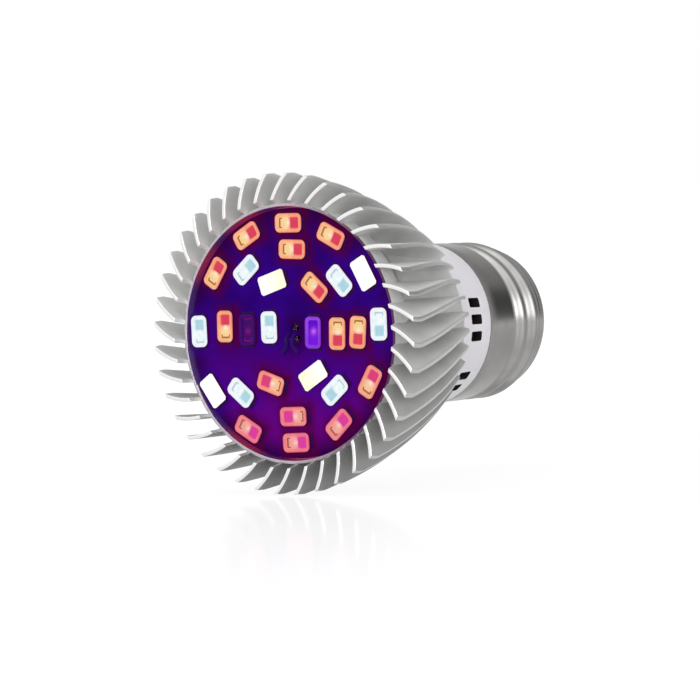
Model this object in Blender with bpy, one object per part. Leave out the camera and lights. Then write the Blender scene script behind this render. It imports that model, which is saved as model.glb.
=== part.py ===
"""LED grow lamp: finned aluminium heat sink, open LED board, plastic collar and a 27 mm screw cap.

The lamp lies level along Y. Its LED face looks towards -Y and the cap points to +Y. The origin is
the flat tip of the centre contact, on the lamp's axis. Depths run along the axis from the plane of
the fins' front edges towards the cap. Angles are seen from the front, from +X towards +Z.
"""

import math

import bmesh
import bpy
from mathutils import Matrix, Vector

# Clearances between pieces
FIT_GAP = 0.0003
SOLDER_FILM = 0.0001

# Heat sink
SINK_LENGTH = 0.02765
FIN_COUNT = 40
FIN_THICKNESS = 0.0006
FIN_FRONT_HEIGHT = 0.0050
FIN_REAR_HEIGHT = 0.0010
BELL_BULGE = 0.0011
FIN_SWEEP = math.radians(8.2)
FIN_SWEEP_STRAIGHT_SHARE = 0.78
FIN_CLOCKING = math.radians(2.7)
FIN_LEAD = 0.0019
FIN_CORNER = 0.0004
RING_RADIUS = 0.02026
RING_WALL = 0.0005
WEB_THICKNESS = 0.0025
SHOULDER_DROP = 0.0017
SHOULDER_RUN = 0.0010
NECK_WALL = 0.00175
CORE_SAG = 0.0005
FIN_SIDE_STEPS = 3
BELL_STEPS = 4

# LED board
BOARD_THICKNESS = 0.0015
BOARD_RECESS = 0.00125

# LED packages
LED_LENGTH = 0.0050
LED_WIDTH = 0.0030
LED_HEIGHT = 0.0008
LED_CORNER = 0.0004
LED_RIM = 0.0004
LED_WELL_DEPTH = 0.0003
LED_WELL_DRAFT = 0.92
LED_TAB_LENGTH = 0.00035
LED_TAB_MARGIN = 0.0002

# Rings of LEDs from the outside in, anticlockwise from +X. Each ring is smaller than the last by a
# share of the outermost. The LEDs were set by hand: after its kind, each has how many degrees it sits
# off the ring's even spacing, how many shifts further out, and how many degrees it is turned.
LED_EDGE_MARGIN = 0.0024
LED_RING_STEP_SHARE = 0.25
LED_SHIFT = 0.0001
LED_RINGS = (
    (("blue", 4, -1, 0), ("white", 2, -1, -2), ("red", 0, 1, 2), ("red", -2, 1, -1),
     ("red", -4, 1, -1), ("red", -5, -1, -4), ("blue", -2, 5, 1), ("white", 0, 6, 5),
     ("red", 0, 1, 0), ("red", 2, -1, 2), ("red", 2, -4, 13), ("red", 3, -3, -1)),
    (("red", 0, 2, -5), ("blue", -6, -1, -4), ("red", -5, 3, -3), ("blue", -7, 0, -5),
     ("red", -6, -3, -1), ("blue", -2, 6, 6), ("red", 1, 1, 1), ("blue", -2, -7, -5)),
    (("red", -1, 6, -2), ("red", -6, 2, -12), ("warm_white", -10, 0, -13), ("infrared", -5, -4, 0),
     ("red", 3, 1, 11), ("warm_white", 3, -7, 1)),
    (("violet", 1, 3, -2), ("blue", -15, -3, 0)),
)

# Collar
COLLAR_RADIUS = 0.01395
COLLAR_STEP = 0.00015
COLLAR_REACH = 0.01215
COLLAR_WALL = 0.0015
SPIGOT_LENGTH = 0.0080
SPIGOT_WALL = 0.0012
VENT_GROUP_ANGLES = (3, 130, 183, 310)
VENTS_PER_GROUP = 3
VENT_WIDTH = 0.0016
VENT_LENGTH = 0.0033
VENT_PITCH = math.radians(11.6)
VENT_SETBACK = 0.0046

# Screw shell
SHELL_LENGTH = 0.0197
SHELL_METAL = 0.0004
SHELL_ROLL_IN = 0.0022
SHELL_MOUTH_STEP = 0.0018
THREAD_PITCH = 0.00363
THREAD_CREST_RADIUS = 0.01315
THREAD_HEIGHT = 0.00095
THREAD_START = 0.0063
THREAD_CLOCKING = math.radians(-48.0)
THREAD_STEPS_PER_TURN = 5

# Insulator and centre contact
INSULATOR_NOSE_RADIUS = 0.0054
INSULATOR_NOSE = 0.0038
INSULATOR_FLANGE = 0.0010
CONTACT_RADIUS = 0.0048
CONTACT_THICKNESS = 0.0009
CONTACT_EDGE = 0.0004
RIVET_RADIUS = 0.0009
RIVET_LENGTH = 0.0052

# Driver
DRIVER_BOARD_THICKNESS = 0.0012
DRIVER_FRONT_SETBACK = 0.0020
DRIVER_BACK_SETBACK = 0.0007
CAPACITOR_RADIUS = 0.0040
CAPACITOR_LENGTH = 0.0110
FILM_CAPACITOR_SIZE = (0.0040, 0.0075, 0.0060)
CORE_SIZE = (0.0078, 0.0090, 0.0045)
CORE_LEG = 0.0016
WINDING_RISE = 0.0010
RECTIFIER_SIZE = (0.0038, 0.0047, 0.0024)
CHIP_SIZE = (0.0039, 0.0049, 0.0015)
FUSE_RADIUS = 0.0013
FUSE_LENGTH = 0.0062
COMPONENT_EDGE = 0.0003

# Wires
WIRE_RADIUS = 0.0004
WIRE_SPACE = 0.0004
WIRE_HOLE_SPACE = 0.0006
PAD_DROP = 0.0030
PAD_SPREAD = 0.0009

ROUND_SEGMENTS = 40

# Radii that follow from the sizes above
POCKET_RADIUS = RING_RADIUS - RING_WALL
BOARD_RADIUS = POCKET_RADIUS - FIT_GAP
FIN_FRONT_RADIUS = RING_RADIUS + FIN_FRONT_HEIGHT
CAVITY_RADIUS = COLLAR_RADIUS + FIT_GAP
CORE_REAR_RADIUS = CAVITY_RADIUS + NECK_WALL
CORE_SHOULDER_RADIUS = RING_RADIUS - SHOULDER_DROP
FIN_REAR_RADIUS = CORE_REAR_RADIUS + FIN_REAR_HEIGHT
BOARD_HOLE_RADIUS = 2 * WIRE_RADIUS + WIRE_SPACE / 2 + WIRE_HOLE_SPACE
WEB_HOLE_RADIUS = BOARD_HOLE_RADIUS + WIRE_HOLE_SPACE
COLLAR_REAR_RADIUS = THREAD_CREST_RADIUS + COLLAR_STEP
THREAD_ROOT_RADIUS = THREAD_CREST_RADIUS - THREAD_HEIGHT
SHELL_BORE_RADIUS = THREAD_ROOT_RADIUS - SHELL_METAL
SHELL_MOUTH_RADIUS = SHELL_BORE_RADIUS - SHELL_MOUTH_STEP
SPIGOT_RADIUS = SHELL_BORE_RADIUS - FIT_GAP

# Depths that follow from the sizes above
BOARD_FACE = FIN_LEAD + BOARD_RECESS
BOARD_BACK = BOARD_FACE + BOARD_THICKNESS
POCKET_FLOOR = BOARD_BACK + FIT_GAP
WEB_BACK = POCKET_FLOOR + WEB_THICKNESS
COLLAR_FRONT = WEB_BACK + FIT_GAP
COLLAR_END = SINK_LENGTH + COLLAR_REACH
SPIGOT_END = COLLAR_END + SPIGOT_LENGTH
SHELL_FRONT = COLLAR_END + FIT_GAP
SHELL_END = COLLAR_END + SHELL_LENGTH
INSULATOR_NOSE_END = SHELL_END + INSULATOR_NOSE
CONTACT_FRONT = INSULATOR_NOSE_END + FIT_GAP
LAMP_LENGTH = CONTACT_FRONT + CONTACT_THICKNESS
RIVET_FRONT = LAMP_LENGTH - RIVET_LENGTH - CONTACT_THICKNESS
DRIVER_FRONT = COLLAR_FRONT + DRIVER_FRONT_SETBACK
DRIVER_BACK = COLLAR_END - COLLAR_WALL - DRIVER_BACK_SETBACK
BOARD_TOP = DRIVER_BOARD_THICKNESS / 2


def y_at(depth):
    """The Y of a depth behind the fins' front plane."""
    return depth - LAMP_LENGTH


def around(radius, angle, depth):
    """A point at a radius and angle about the lamp's axis."""
    return Vector((radius * math.cos(angle), y_at(depth), radius * math.sin(angle)))


def clear_scene():
    for old in list(bpy.data.objects):
        bpy.data.objects.remove(old, do_unlink=True)


def finish(name, colour, roughness, metallic=0.0, glow=None):
    """A Principled material with a plain colour, and a glow for a lit LED."""
    material = bpy.data.materials.new(name)
    material.use_nodes = True
    shader = material.node_tree.nodes["Principled BSDF"]
    shader.inputs["Base Color"].default_value = (*colour, 1.0)
    shader.inputs["Roughness"].default_value = roughness
    shader.inputs["Metallic"].default_value = metallic
    if glow:
        shader.inputs["Emission Color"].default_value = (*glow, 1.0)
        shader.inputs["Emission Strength"].default_value = 2.0
    return material


def mesh_from(bm, name, smooth=True):
    """Turns a bmesh into a mesh with its faces outward, shaded smooth apart from its sharp edges."""
    bmesh.ops.recalc_face_normals(bm, faces=bm.faces)
    mesh = bpy.data.meshes.new(name)
    bm.to_mesh(mesh)
    bm.free()
    if smooth:
        mesh.shade_smooth()
        mesh.set_sharp_from_angle(angle=math.radians(35))
    return mesh


def add_object(name, data, material):
    """Links an object with one material to the scene."""
    made = bpy.data.objects.new(name, data)
    if not data.materials:
        data.materials.append(material)
    bpy.context.scene.collection.objects.link(made)
    return made


def turned_bmesh(profile, segments=ROUND_SEGMENTS):
    """Spins (radius, depth) corners about the lamp's axis: a closed ring, or a solid that meets the axis."""
    bm = bmesh.new()
    corners = [bm.verts.new((radius, y_at(depth), 0)) for radius, depth in profile]
    on_axis = profile[0][0] == 0 and profile[-1][0] == 0
    pairs = list(zip(corners, corners[1:]))
    if not on_axis:
        pairs.append((corners[-1], corners[0]))
    edges = [bm.edges.new(pair) for pair in pairs]
    bmesh.ops.spin(bm, geom=corners + edges, cent=(0, 0, 0), axis=(0, 1, 0), dvec=(0, 0, 0),
                   angle=2 * math.pi, steps=segments, use_merge=True, use_duplicate=False)
    bmesh.ops.remove_doubles(bm, verts=bm.verts, dist=1e-7)
    return bm


def turned(name, profile, material, segments=ROUND_SEGMENTS):
    return add_object(name, mesh_from(turned_bmesh(profile, segments), name), material)


def box_bmesh(size, edge=0.0, segments=1):
    """A block of the given size about its own centre, with its edges bevelled."""
    bm = bmesh.new()
    bmesh.ops.create_cube(bm, size=1.0)
    bmesh.ops.scale(bm, vec=size, verts=bm.verts)
    if edge:
        bmesh.ops.bevel(bm, geom=bm.edges[:], offset=edge, segments=segments, affect="EDGES",
                        profile=0.5, material=-1)
    return bm


def block(name, size, centre, material, edge=COMPONENT_EDGE):
    made = add_object(name, mesh_from(box_bmesh(size, edge), name), material)
    made.location = centre
    return made


def smooth_route(points, steps=4):
    """Points on a smooth curve through a short route."""
    route = [Vector(p) for p in points]
    ends = [2 * route[0] - route[1], *route, 2 * route[-1] - route[-2]]
    made = []
    for before, here, there, after in zip(ends, ends[1:], ends[2:], ends[3:]):
        for step in range(steps):
            t = step / steps
            made.append(0.5 * (2 * here + (there - before) * t
                               + (2 * before - 5 * here + 4 * there - after) * t ** 2
                               + (3 * here - before - 3 * there + after) * t ** 3))
    return [*made, route[-1]]


def wire(name, points, material):
    """A round insulated wire along a route."""
    path = smooth_route(points)
    curve = bpy.data.curves.new(name, "CURVE")
    curve.dimensions = "3D"
    curve.bevel_depth = WIRE_RADIUS
    curve.bevel_resolution = 2
    curve.use_fill_caps = True
    spline = curve.splines.new("POLY")
    spline.points.add(len(path) - 1)
    for point, place in zip(spline.points, path):
        point.co = (*place, 1.0)
    return add_object(name, curve, material)


# The heat sink


def bell_radius(depth):
    """The turned outside of the fins: a chord from front to rear, swollen between its ends."""
    share = depth / SINK_LENGTH
    chord = FIN_FRONT_RADIUS + (FIN_REAR_RADIUS - FIN_FRONT_RADIUS) * share
    return chord + 4 * BELL_BULGE * share * (1 - share)


def core_radius(depth):
    """The outside of the core between the fins: the ring round the board, a shoulder, then the neck."""
    shoulder_end = WEB_BACK + SHOULDER_RUN
    if depth <= POCKET_FLOOR:
        return RING_RADIUS
    if depth < shoulder_end:
        share = (depth - POCKET_FLOOR) / (shoulder_end - POCKET_FLOOR)
        return RING_RADIUS + (CORE_SHOULDER_RADIUS - RING_RADIUS) * share
    share = (depth - shoulder_end) / (SINK_LENGTH - shoulder_end)
    chord = CORE_SHOULDER_RADIUS + (CORE_REAR_RADIUS - CORE_SHOULDER_RADIUS) * share
    return chord - 4 * CORE_SAG * share * (1 - share)


def fin_turn(radius):
    """How far a blade's middle has swept, clockwise from the front, at a radius."""
    share = (radius - RING_RADIUS) / (FIN_FRONT_RADIUS - RING_RADIUS)
    straight = FIN_SWEEP_STRAIGHT_SHARE
    return -FIN_SWEEP * (straight * share + (1 - straight) * share ** 2)


def fin_half_angle(radius):
    """Half of a blade's thickness as an angle, wider where the blade leans."""
    step = 1e-5
    slope = radius * (fin_turn(radius + step) - fin_turn(radius - step)) / (2 * step)
    return FIN_THICKNESS / 2 * math.hypot(1, slope) / radius


def fin_corners(index, inner, outer, depth):
    """One blade's section at a depth: up its first side, then down its second."""
    middle = FIN_CLOCKING + 2 * math.pi * index / FIN_COUNT
    radii = [inner + (outer - inner) * step / FIN_SIDE_STEPS for step in range(FIN_SIDE_STEPS + 1)]
    first = [around(r, middle + fin_turn(r) - fin_half_angle(r), depth) for r in radii]
    second = [around(r, middle + fin_turn(r) + fin_half_angle(r), depth) for r in radii]
    return first + second[::-1]


def new_ring(bm, points):
    return [bm.verts.new(point) for point in points]


def skin(bm, first, second):
    """Joins two closed rings of as many corners with faces."""
    count = len(first)
    for i in range(count):
        j = (i + 1) % count
        bm.faces.new((first[i], first[j], second[j], second[i]))


def cap_blade(bm, blade):
    """Closes a blade's end across its two sides."""
    last = len(blade) - 1
    for i in range(FIN_SIDE_STEPS):
        bm.faces.new((blade[i], blade[i + 1], blade[last - i - 1], blade[last - i]))


def blades_of(ring):
    """The corners of each blade in a whole ring of corners."""
    size = 2 * (FIN_SIDE_STEPS + 1)
    return [ring[i * size:(i + 1) * size] for i in range(FIN_COUNT)]


def sink_ring(bm, depth, outer):
    """All the blades' corners at a depth, with the valleys between them, as one closed ring."""
    inner = core_radius(depth)
    corners = [fin_corners(i, inner, outer, depth) for i in range(FIN_COUNT)]
    return new_ring(bm, [corner for blade in corners for corner in blade])


def bore_ring(bm, radius, depth, root_radius):
    """A circle inside the core, with a corner opposite each blade's two roots."""
    points = []
    for i in range(FIN_COUNT):
        middle = FIN_CLOCKING + 2 * math.pi * i / FIN_COUNT + fin_turn(root_radius)
        half = fin_half_angle(root_radius)
        points += [around(radius, middle - half, depth), around(radius, middle + half, depth)]
    return new_ring(bm, points)


def roots_of(ring):
    """The two root corners of each blade, in order, to meet a circle inside the core."""
    return [corner for blade in blades_of(ring) for corner in (blade[0], blade[-1])]


def heat_sink(material):
    """Forty curved blades, turned to a bell, on a core with the board's pocket and the collar's bore."""
    bm = bmesh.new()
    shoulder_end = WEB_BACK + SHOULDER_RUN
    neck = [shoulder_end + (SINK_LENGTH - shoulder_end) * step / BELL_STEPS
            for step in range(BELL_STEPS + 1)]
    rings = [sink_ring(bm, depth, bell_radius(depth)) for depth in (FIN_LEAD, POCKET_FLOOR, *neck)]
    for first, second in zip(rings, rings[1:]):
        skin(bm, first, second)

    front, rear = rings[0], rings[-1]
    for index, blade in enumerate(blades_of(front)):
        edge = new_ring(bm, fin_corners(index, RING_RADIUS, bell_radius(0) - FIN_CORNER, 0.0))
        skin(bm, blade, edge)
        cap_blade(bm, edge)
    for blade in blades_of(rear):
        cap_blade(bm, blade)

    bores = [
        bore_ring(bm, POCKET_RADIUS, FIN_LEAD, RING_RADIUS),
        bore_ring(bm, POCKET_RADIUS, POCKET_FLOOR, RING_RADIUS),
        bore_ring(bm, WEB_HOLE_RADIUS, POCKET_FLOOR, RING_RADIUS),
        bore_ring(bm, WEB_HOLE_RADIUS, WEB_BACK, CORE_REAR_RADIUS),
        bore_ring(bm, CAVITY_RADIUS, WEB_BACK, CORE_REAR_RADIUS),
        bore_ring(bm, CAVITY_RADIUS, SINK_LENGTH, CORE_REAR_RADIUS),
    ]
    for first, second in zip([roots_of(front), *bores], [*bores, roots_of(rear)]):
        skin(bm, first, second)
    return add_object("heat_sink", mesh_from(bm, "heat_sink"), material)


# The LED board and its LEDs


def led_board(material):
    profile = [(BOARD_RADIUS, BOARD_FACE), (BOARD_RADIUS, BOARD_BACK),
               (BOARD_HOLE_RADIUS, BOARD_BACK), (BOARD_HOLE_RADIUS, BOARD_FACE)]
    return turned("led_board", profile, material)


def led_mesh(name):
    """A package with cut corners, a sunk lens well on top and a solder tab at each end."""
    bm = box_bmesh((LED_LENGTH, LED_WIDTH, LED_HEIGHT))
    upright = [e for e in bm.edges if abs(e.verts[0].co.z - e.verts[1].co.z) > LED_HEIGHT / 2]
    bmesh.ops.bevel(bm, geom=upright, offset=LED_CORNER, segments=1, affect="EDGES",
                    profile=0.5, material=-1)
    top = max(bm.faces, key=lambda f: f.calc_center_median().z)
    bmesh.ops.inset_region(bm, faces=[top], thickness=LED_RIM)
    well = bmesh.ops.extrude_discrete_faces(bm, faces=[top])["faces"][0]
    bmesh.ops.translate(bm, vec=(0, 0, -LED_WELL_DEPTH), verts=well.verts[:])
    bmesh.ops.scale(bm, vec=(LED_WELL_DRAFT, LED_WELL_DRAFT, 1), verts=well.verts[:])
    for side in (-1, 1):
        end = max(bm.faces, key=lambda f: side * f.calc_center_median().x)
        bmesh.ops.inset_individual(bm, faces=[end], thickness=LED_TAB_MARGIN)
        tab = bmesh.ops.extrude_discrete_faces(bm, faces=[end])["faces"][0]
        bmesh.ops.translate(bm, vec=(side * LED_TAB_LENGTH, 0, 0), verts=tab.verts[:])
    return mesh_from(bm, name, smooth=False)


def place_leds(materials):
    """Sets every ring's LEDs on the board, each with its long side about along the ring."""
    meshes = {kind: led_mesh(kind + "_led") for kind in materials}
    totals = {kind: 0 for kind in materials}
    for leds in LED_RINGS:
        for kind, *_ in leds:
            totals[kind] += 1
    counts = {kind: 0 for kind in materials}
    base = BOARD_FACE - SOLDER_FILM - LED_HEIGHT / 2
    for ring, leds in enumerate(LED_RINGS):
        ring_radius = (BOARD_RADIUS - LED_EDGE_MARGIN) * (1 - ring * LED_RING_STEP_SHARE)
        for index, (kind, offset, shifts, turned_by) in enumerate(leds):
            counts[kind] += 1
            even = 2 * math.pi * index / len(leds)
            name = kind + "_led"
            if totals[kind] > 1:
                name += "_%02d" % counts[kind]
            made = add_object(name, meshes[kind], materials[kind])
            lean = even + math.radians(turned_by)
            along = Vector((-math.sin(lean), 0, math.cos(lean)))
            out = Vector((0, -1, 0))
            turn = Matrix((along, out.cross(along), out)).transposed()
            place = around(ring_radius + shifts * LED_SHIFT, even + math.radians(offset), base)
            made.matrix_world = Matrix.Translation(place) @ turn.to_4x4()


# The collar


def collar_radius(depth):
    """The outside of the collar: straight in the heat sink, then tapered to the cap."""
    share = max(0.0, (depth - SINK_LENGTH) / COLLAR_REACH)
    return COLLAR_RADIUS + (COLLAR_REAR_RADIUS - COLLAR_RADIUS) * share


def vent_cutter():
    """The blocks that cut the vent slots, as one mesh."""
    bm = bmesh.new()
    depth = COLLAR_END - VENT_SETBACK
    reach = 3 * COLLAR_WALL
    for group in VENT_GROUP_ANGLES:
        for slot in range(VENTS_PER_GROUP):
            angle = math.radians(group) + (slot - (VENTS_PER_GROUP - 1) / 2) * VENT_PITCH
            turn = Matrix.Rotation(-angle, 4, "Y")
            place = around(collar_radius(depth), angle, depth)
            size = Matrix.Diagonal((reach, VENT_LENGTH, VENT_WIDTH, 1))
            bmesh.ops.create_cube(bm, size=1.0, matrix=Matrix.Translation(place) @ turn @ size)
    cutter = bpy.data.objects.new("vent_cutter", mesh_from(bm, "vent_cutter", smooth=False))
    bpy.context.scene.collection.objects.link(cutter)
    cutter.hide_render = True
    cutter.display_type = "WIRE"
    return cutter


def collar(material):
    """A hollow tube from inside the heat sink to the cap, with a spigot that the screw shell fits over."""
    profile = [
        (collar_radius(COLLAR_FRONT), COLLAR_FRONT),
        (collar_radius(SINK_LENGTH), SINK_LENGTH),
        (COLLAR_REAR_RADIUS, COLLAR_END),
        (SPIGOT_RADIUS, COLLAR_END),
        (SPIGOT_RADIUS, SPIGOT_END),
        (SPIGOT_RADIUS - SPIGOT_WALL, SPIGOT_END),
        (SPIGOT_RADIUS - SPIGOT_WALL, COLLAR_END),
        (COLLAR_REAR_RADIUS - COLLAR_WALL, COLLAR_END - COLLAR_WALL),
        (collar_radius(SINK_LENGTH) - COLLAR_WALL, SINK_LENGTH),
        (collar_radius(COLLAR_FRONT) - COLLAR_WALL, COLLAR_FRONT),
    ]
    made = turned("collar", profile, material)
    cut = made.modifiers.new("vents", "BOOLEAN")
    cut.operation = "DIFFERENCE"
    cut.solver = "EXACT"
    cut.object = vent_cutter()
    return made


# The cap


def ease(share):
    """0 below 0, 1 above 1 and a smooth rise between."""
    share = min(1.0, max(0.0, share))
    return share * share * (3 - 2 * share)


def thread_radius(angle, depth):
    """The rolled thread: a right-hand wave that fades in after the lip and out at the shell's end."""
    start = SHELL_FRONT + THREAD_START
    end = SHELL_END - SHELL_ROLL_IN
    turns = (depth - start) / THREAD_PITCH + (angle + THREAD_CLOCKING) / (2 * math.pi)
    wave = 0.5 + 0.5 * math.cos(2 * math.pi * turns)
    groove = THREAD_HEIGHT * (1 - wave)
    fade_in = ease((depth - start) / (THREAD_PITCH / 2))
    fade_out = ease((end - depth) / (THREAD_PITCH / 2))
    full = THREAD_CREST_RADIUS - groove * fade_in
    return THREAD_ROOT_RADIUS + (full - THREAD_ROOT_RADIUS) * fade_out


def screw_shell(material):
    """A metal shell with a smooth lip, a rolled thread and an end turned in round the insulator."""
    start = SHELL_FRONT + THREAD_START
    end = SHELL_END - SHELL_ROLL_IN
    steps = round((end - start) / THREAD_PITCH * THREAD_STEPS_PER_TURN)
    threaded = [start + (end - start) * step / steps for step in range(steps + 1)]
    outside = [(THREAD_CREST_RADIUS, depth) for depth in (SHELL_FRONT, *threaded)]
    mouth = SHELL_MOUTH_RADIUS + SHELL_METAL
    bend = (THREAD_ROOT_RADIUS + mouth) / 2 + SHELL_METAL, SHELL_END - SHELL_ROLL_IN / 3
    inside = [(SHELL_MOUTH_RADIUS, SHELL_END - SHELL_METAL), (SHELL_BORE_RADIUS, end),
              (SHELL_BORE_RADIUS, SHELL_FRONT)]
    bm = turned_bmesh([*outside, bend, (mouth, SHELL_END), *inside])
    for vert in bm.verts:
        radius = math.hypot(vert.co.x, vert.co.z)
        depth = vert.co.y + LAMP_LENGTH
        if radius > THREAD_CREST_RADIUS - SHELL_METAL and depth > start:
            angle = math.atan2(vert.co.z, vert.co.x)
            vert.co = around(thread_radius(angle, depth), angle, depth)
    return add_object("screw_shell", mesh_from(bm, "screw_shell"), material)


def insulator(material):
    """A glassy plug held by the shell's turned-in end, coned down to the centre contact."""
    inside = SHELL_BORE_RADIUS - FIT_GAP
    throat = SHELL_MOUTH_RADIUS - FIT_GAP
    shelf = SHELL_END - SHELL_ROLL_IN - FIT_GAP
    hole = RIVET_RADIUS + FIT_GAP
    profile = [
        (hole, shelf - INSULATOR_FLANGE),
        (inside, shelf - INSULATOR_FLANGE),
        (inside, shelf),
        (throat, SHELL_END - SHELL_METAL),
        (throat, SHELL_END),
        (INSULATOR_NOSE_RADIUS, INSULATOR_NOSE_END),
        (hole, INSULATOR_NOSE_END),
    ]
    return turned("insulator", profile, material)


def centre_contact(material):
    """A flat button with a rivet through the insulator."""
    profile = [
        (0, RIVET_FRONT),
        (RIVET_RADIUS, RIVET_FRONT),
        (RIVET_RADIUS, CONTACT_FRONT),
        (CONTACT_RADIUS, CONTACT_FRONT),
        (CONTACT_RADIUS, LAMP_LENGTH - CONTACT_EDGE),
        (CONTACT_RADIUS - CONTACT_EDGE, LAMP_LENGTH),
        (0, LAMP_LENGTH),
    ]
    return turned("centre_contact", profile, material, segments=32)


# The driver


def driver_half_width():
    """Half of the driver board's width, to fit across the collar's narrowest bore."""
    bore = min(COLLAR_RADIUS, COLLAR_REAR_RADIUS) - COLLAR_WALL - FIT_GAP
    return math.sqrt(bore ** 2 - BOARD_TOP ** 2)


def on_board(height, side=1):
    """The Z of the middle of a component of a height that stands on one side of the driver board."""
    return side * (BOARD_TOP + SOLDER_FILM + height / 2)


def capacitor(material):
    """A can on its side, with a crimped groove near its sealed end."""
    front = DRIVER_FRONT + FIT_GAP
    radius, end, edge = CAPACITOR_RADIUS, front + CAPACITOR_LENGTH, COMPONENT_EDGE
    profile = [
        (0, front), (radius - edge, front), (radius, front + edge), (radius, front + 3 * edge),
        (radius - edge, front + 4 * edge), (radius - edge, front + 5 * edge),
        (radius, front + 6 * edge), (radius, end - edge), (radius - edge, end), (0, end),
    ]
    made = turned("electrolytic_capacitor", profile, material, segments=24)
    made.location = (-CAPACITOR_RADIUS - FIT_GAP, 0, on_board(2 * CAPACITOR_RADIUS))
    return made


def transformer(core_material, winding_material):
    """A ferrite frame that lies on the board, with its winding in the window."""
    width, length, height = CORE_SIZE
    centre = Vector((FIT_GAP + width / 2, y_at(DRIVER_FRONT + FIT_GAP + length / 2), on_board(height)))
    bm = bmesh.new()
    signs = ((-1, -1), (1, -1), (1, 1), (-1, 1))
    outer = [(x * width / 2, y * length / 2) for x, y in signs]
    inner = [(x * (width / 2 - CORE_LEG), y * (length / 2 - CORE_LEG)) for x, y in signs]
    low, high = -height / 2, height / 2
    rings = [new_ring(bm, [(x, y, z) for x, y in ring])
             for ring, z in ((outer, low), (outer, high), (inner, high), (inner, low))]
    for first, second in zip(rings, [*rings[1:], rings[0]]):
        skin(bm, first, second)
    core = add_object("transformer_core", mesh_from(bm, "transformer_core", smooth=False), core_material)
    core.location = centre

    window = 2 * (CORE_LEG + FIT_GAP)
    size = (width - window, length - window, height + WINDING_RISE)
    coil = box_bmesh(size, COMPONENT_EDGE * 2, segments=2)
    made = add_object("transformer_winding", mesh_from(coil, "transformer_winding"), winding_material)
    made.location = centre + Vector((0, 0, WINDING_RISE / 2))


def fuse_resistor(material):
    """A small barrel resistor with bulged ends, on its side at the back of the board."""
    end = DRIVER_BACK - FIT_GAP
    front = end - FUSE_LENGTH
    waist = FUSE_RADIUS - COMPONENT_EDGE
    profile = [
        (0, front), (waist, front), (FUSE_RADIUS, front + COMPONENT_EDGE),
        (FUSE_RADIUS, front + 4 * COMPONENT_EDGE), (waist, front + 5 * COMPONENT_EDGE),
        (waist, end - 5 * COMPONENT_EDGE), (FUSE_RADIUS, end - 4 * COMPONENT_EDGE),
        (FUSE_RADIUS, end - COMPONENT_EDGE), (waist, end), (0, end),
    ]
    made = turned("fuse_resistor", profile, material, segments=20)
    made.location = (FILM_CAPACITOR_SIZE[0] + FIT_GAP, 0, on_board(2 * FUSE_RADIUS))
    return made


def driver(materials):
    """The power supply on its board, across the collar's bore."""
    width = 2 * driver_half_width()
    middle = y_at((DRIVER_FRONT + DRIVER_BACK) / 2)
    block("driver_board", (width, DRIVER_BACK - DRIVER_FRONT, DRIVER_BOARD_THICKNESS), (0, middle, 0),
          materials["board"], edge=0.0)
    capacitor(materials["sleeve"])
    transformer(materials["ferrite"], materials["tape"])
    fuse_resistor(materials["resistor"])
    film = FILM_CAPACITOR_SIZE
    block("film_capacitor", film,
          (-film[0] / 2 - FIT_GAP, y_at(DRIVER_BACK - film[1] / 2 - FIT_GAP), on_board(film[2])),
          materials["epoxy"], edge=2 * COMPONENT_EDGE)
    size = RECTIFIER_SIZE
    block("bridge_rectifier", size,
          (0, y_at(DRIVER_BACK - size[1] / 2 - FUSE_LENGTH), on_board(size[2], -1)), materials["chip"])
    size = CHIP_SIZE
    block("driver_chip", size,
          (0, y_at(DRIVER_FRONT + size[1] / 2 + CORE_LEG), on_board(size[2], -1)), materials["chip"])


def wires(materials):
    """The two leads to the LEDs, through the web's hole, and the two leads to the cap."""
    lie = BOARD_FACE - SOLDER_FILM - WIRE_RADIUS
    above = BOARD_TOP + SOLDER_FILM + WIRE_RADIUS
    half = WIRE_RADIUS + WIRE_SPACE / 2
    for name, side in (("led_positive_wire", 1), ("led_negative_wire", -1)):
        x = side * half
        pad = side * (half + PAD_SPREAD)
        wire(name, [
            (x, y_at(DRIVER_FRONT + CORE_LEG / 2 - FIT_GAP), -above),
            (x, y_at(COLLAR_FRONT), -above / 2),
            (x, y_at(POCKET_FLOOR), 0),
            (x, y_at(lie + 2 * WIRE_RADIUS), 0),
            (x, y_at(lie - WIRE_RADIUS / 2), -BOARD_HOLE_RADIUS / 2),
            (x, y_at(lie - WIRE_RADIUS / 3), -BOARD_HOLE_RADIUS - WIRE_RADIUS),
            (pad, y_at(lie), -PAD_DROP),
        ], materials[name])

    away = FILM_CAPACITOR_SIZE[0] / 2
    wire("live_wire", [
        (away + FUSE_RADIUS, y_at(DRIVER_BACK - WIRE_RADIUS), -above),
        (away + FUSE_RADIUS, y_at(DRIVER_BACK + 2 * WIRE_RADIUS), -above),
        (away, y_at(COLLAR_END), -above / 2),
        (0, y_at(SPIGOT_END), 0),
        (0, y_at(RIVET_FRONT - FIT_GAP), 0),
    ], materials["live_wire"])

    wall = SHELL_BORE_RADIUS - FIT_GAP - WIRE_RADIUS
    wire("neutral_wire", [
        (-away, y_at(DRIVER_BACK - WIRE_RADIUS), -above),
        (-away, y_at(DRIVER_BACK + 2 * WIRE_RADIUS), -above),
        (-SPIGOT_RADIUS / 2, y_at(COLLAR_END), -2 * above),
        (-SPIGOT_RADIUS / 2, y_at(SPIGOT_END), -2 * above),
        (-wall, y_at(SPIGOT_END + 4 * WIRE_RADIUS), 0),
        (-wall, y_at(SPIGOT_END + 8 * WIRE_RADIUS), 0),
    ], materials["neutral_wire"])


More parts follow.
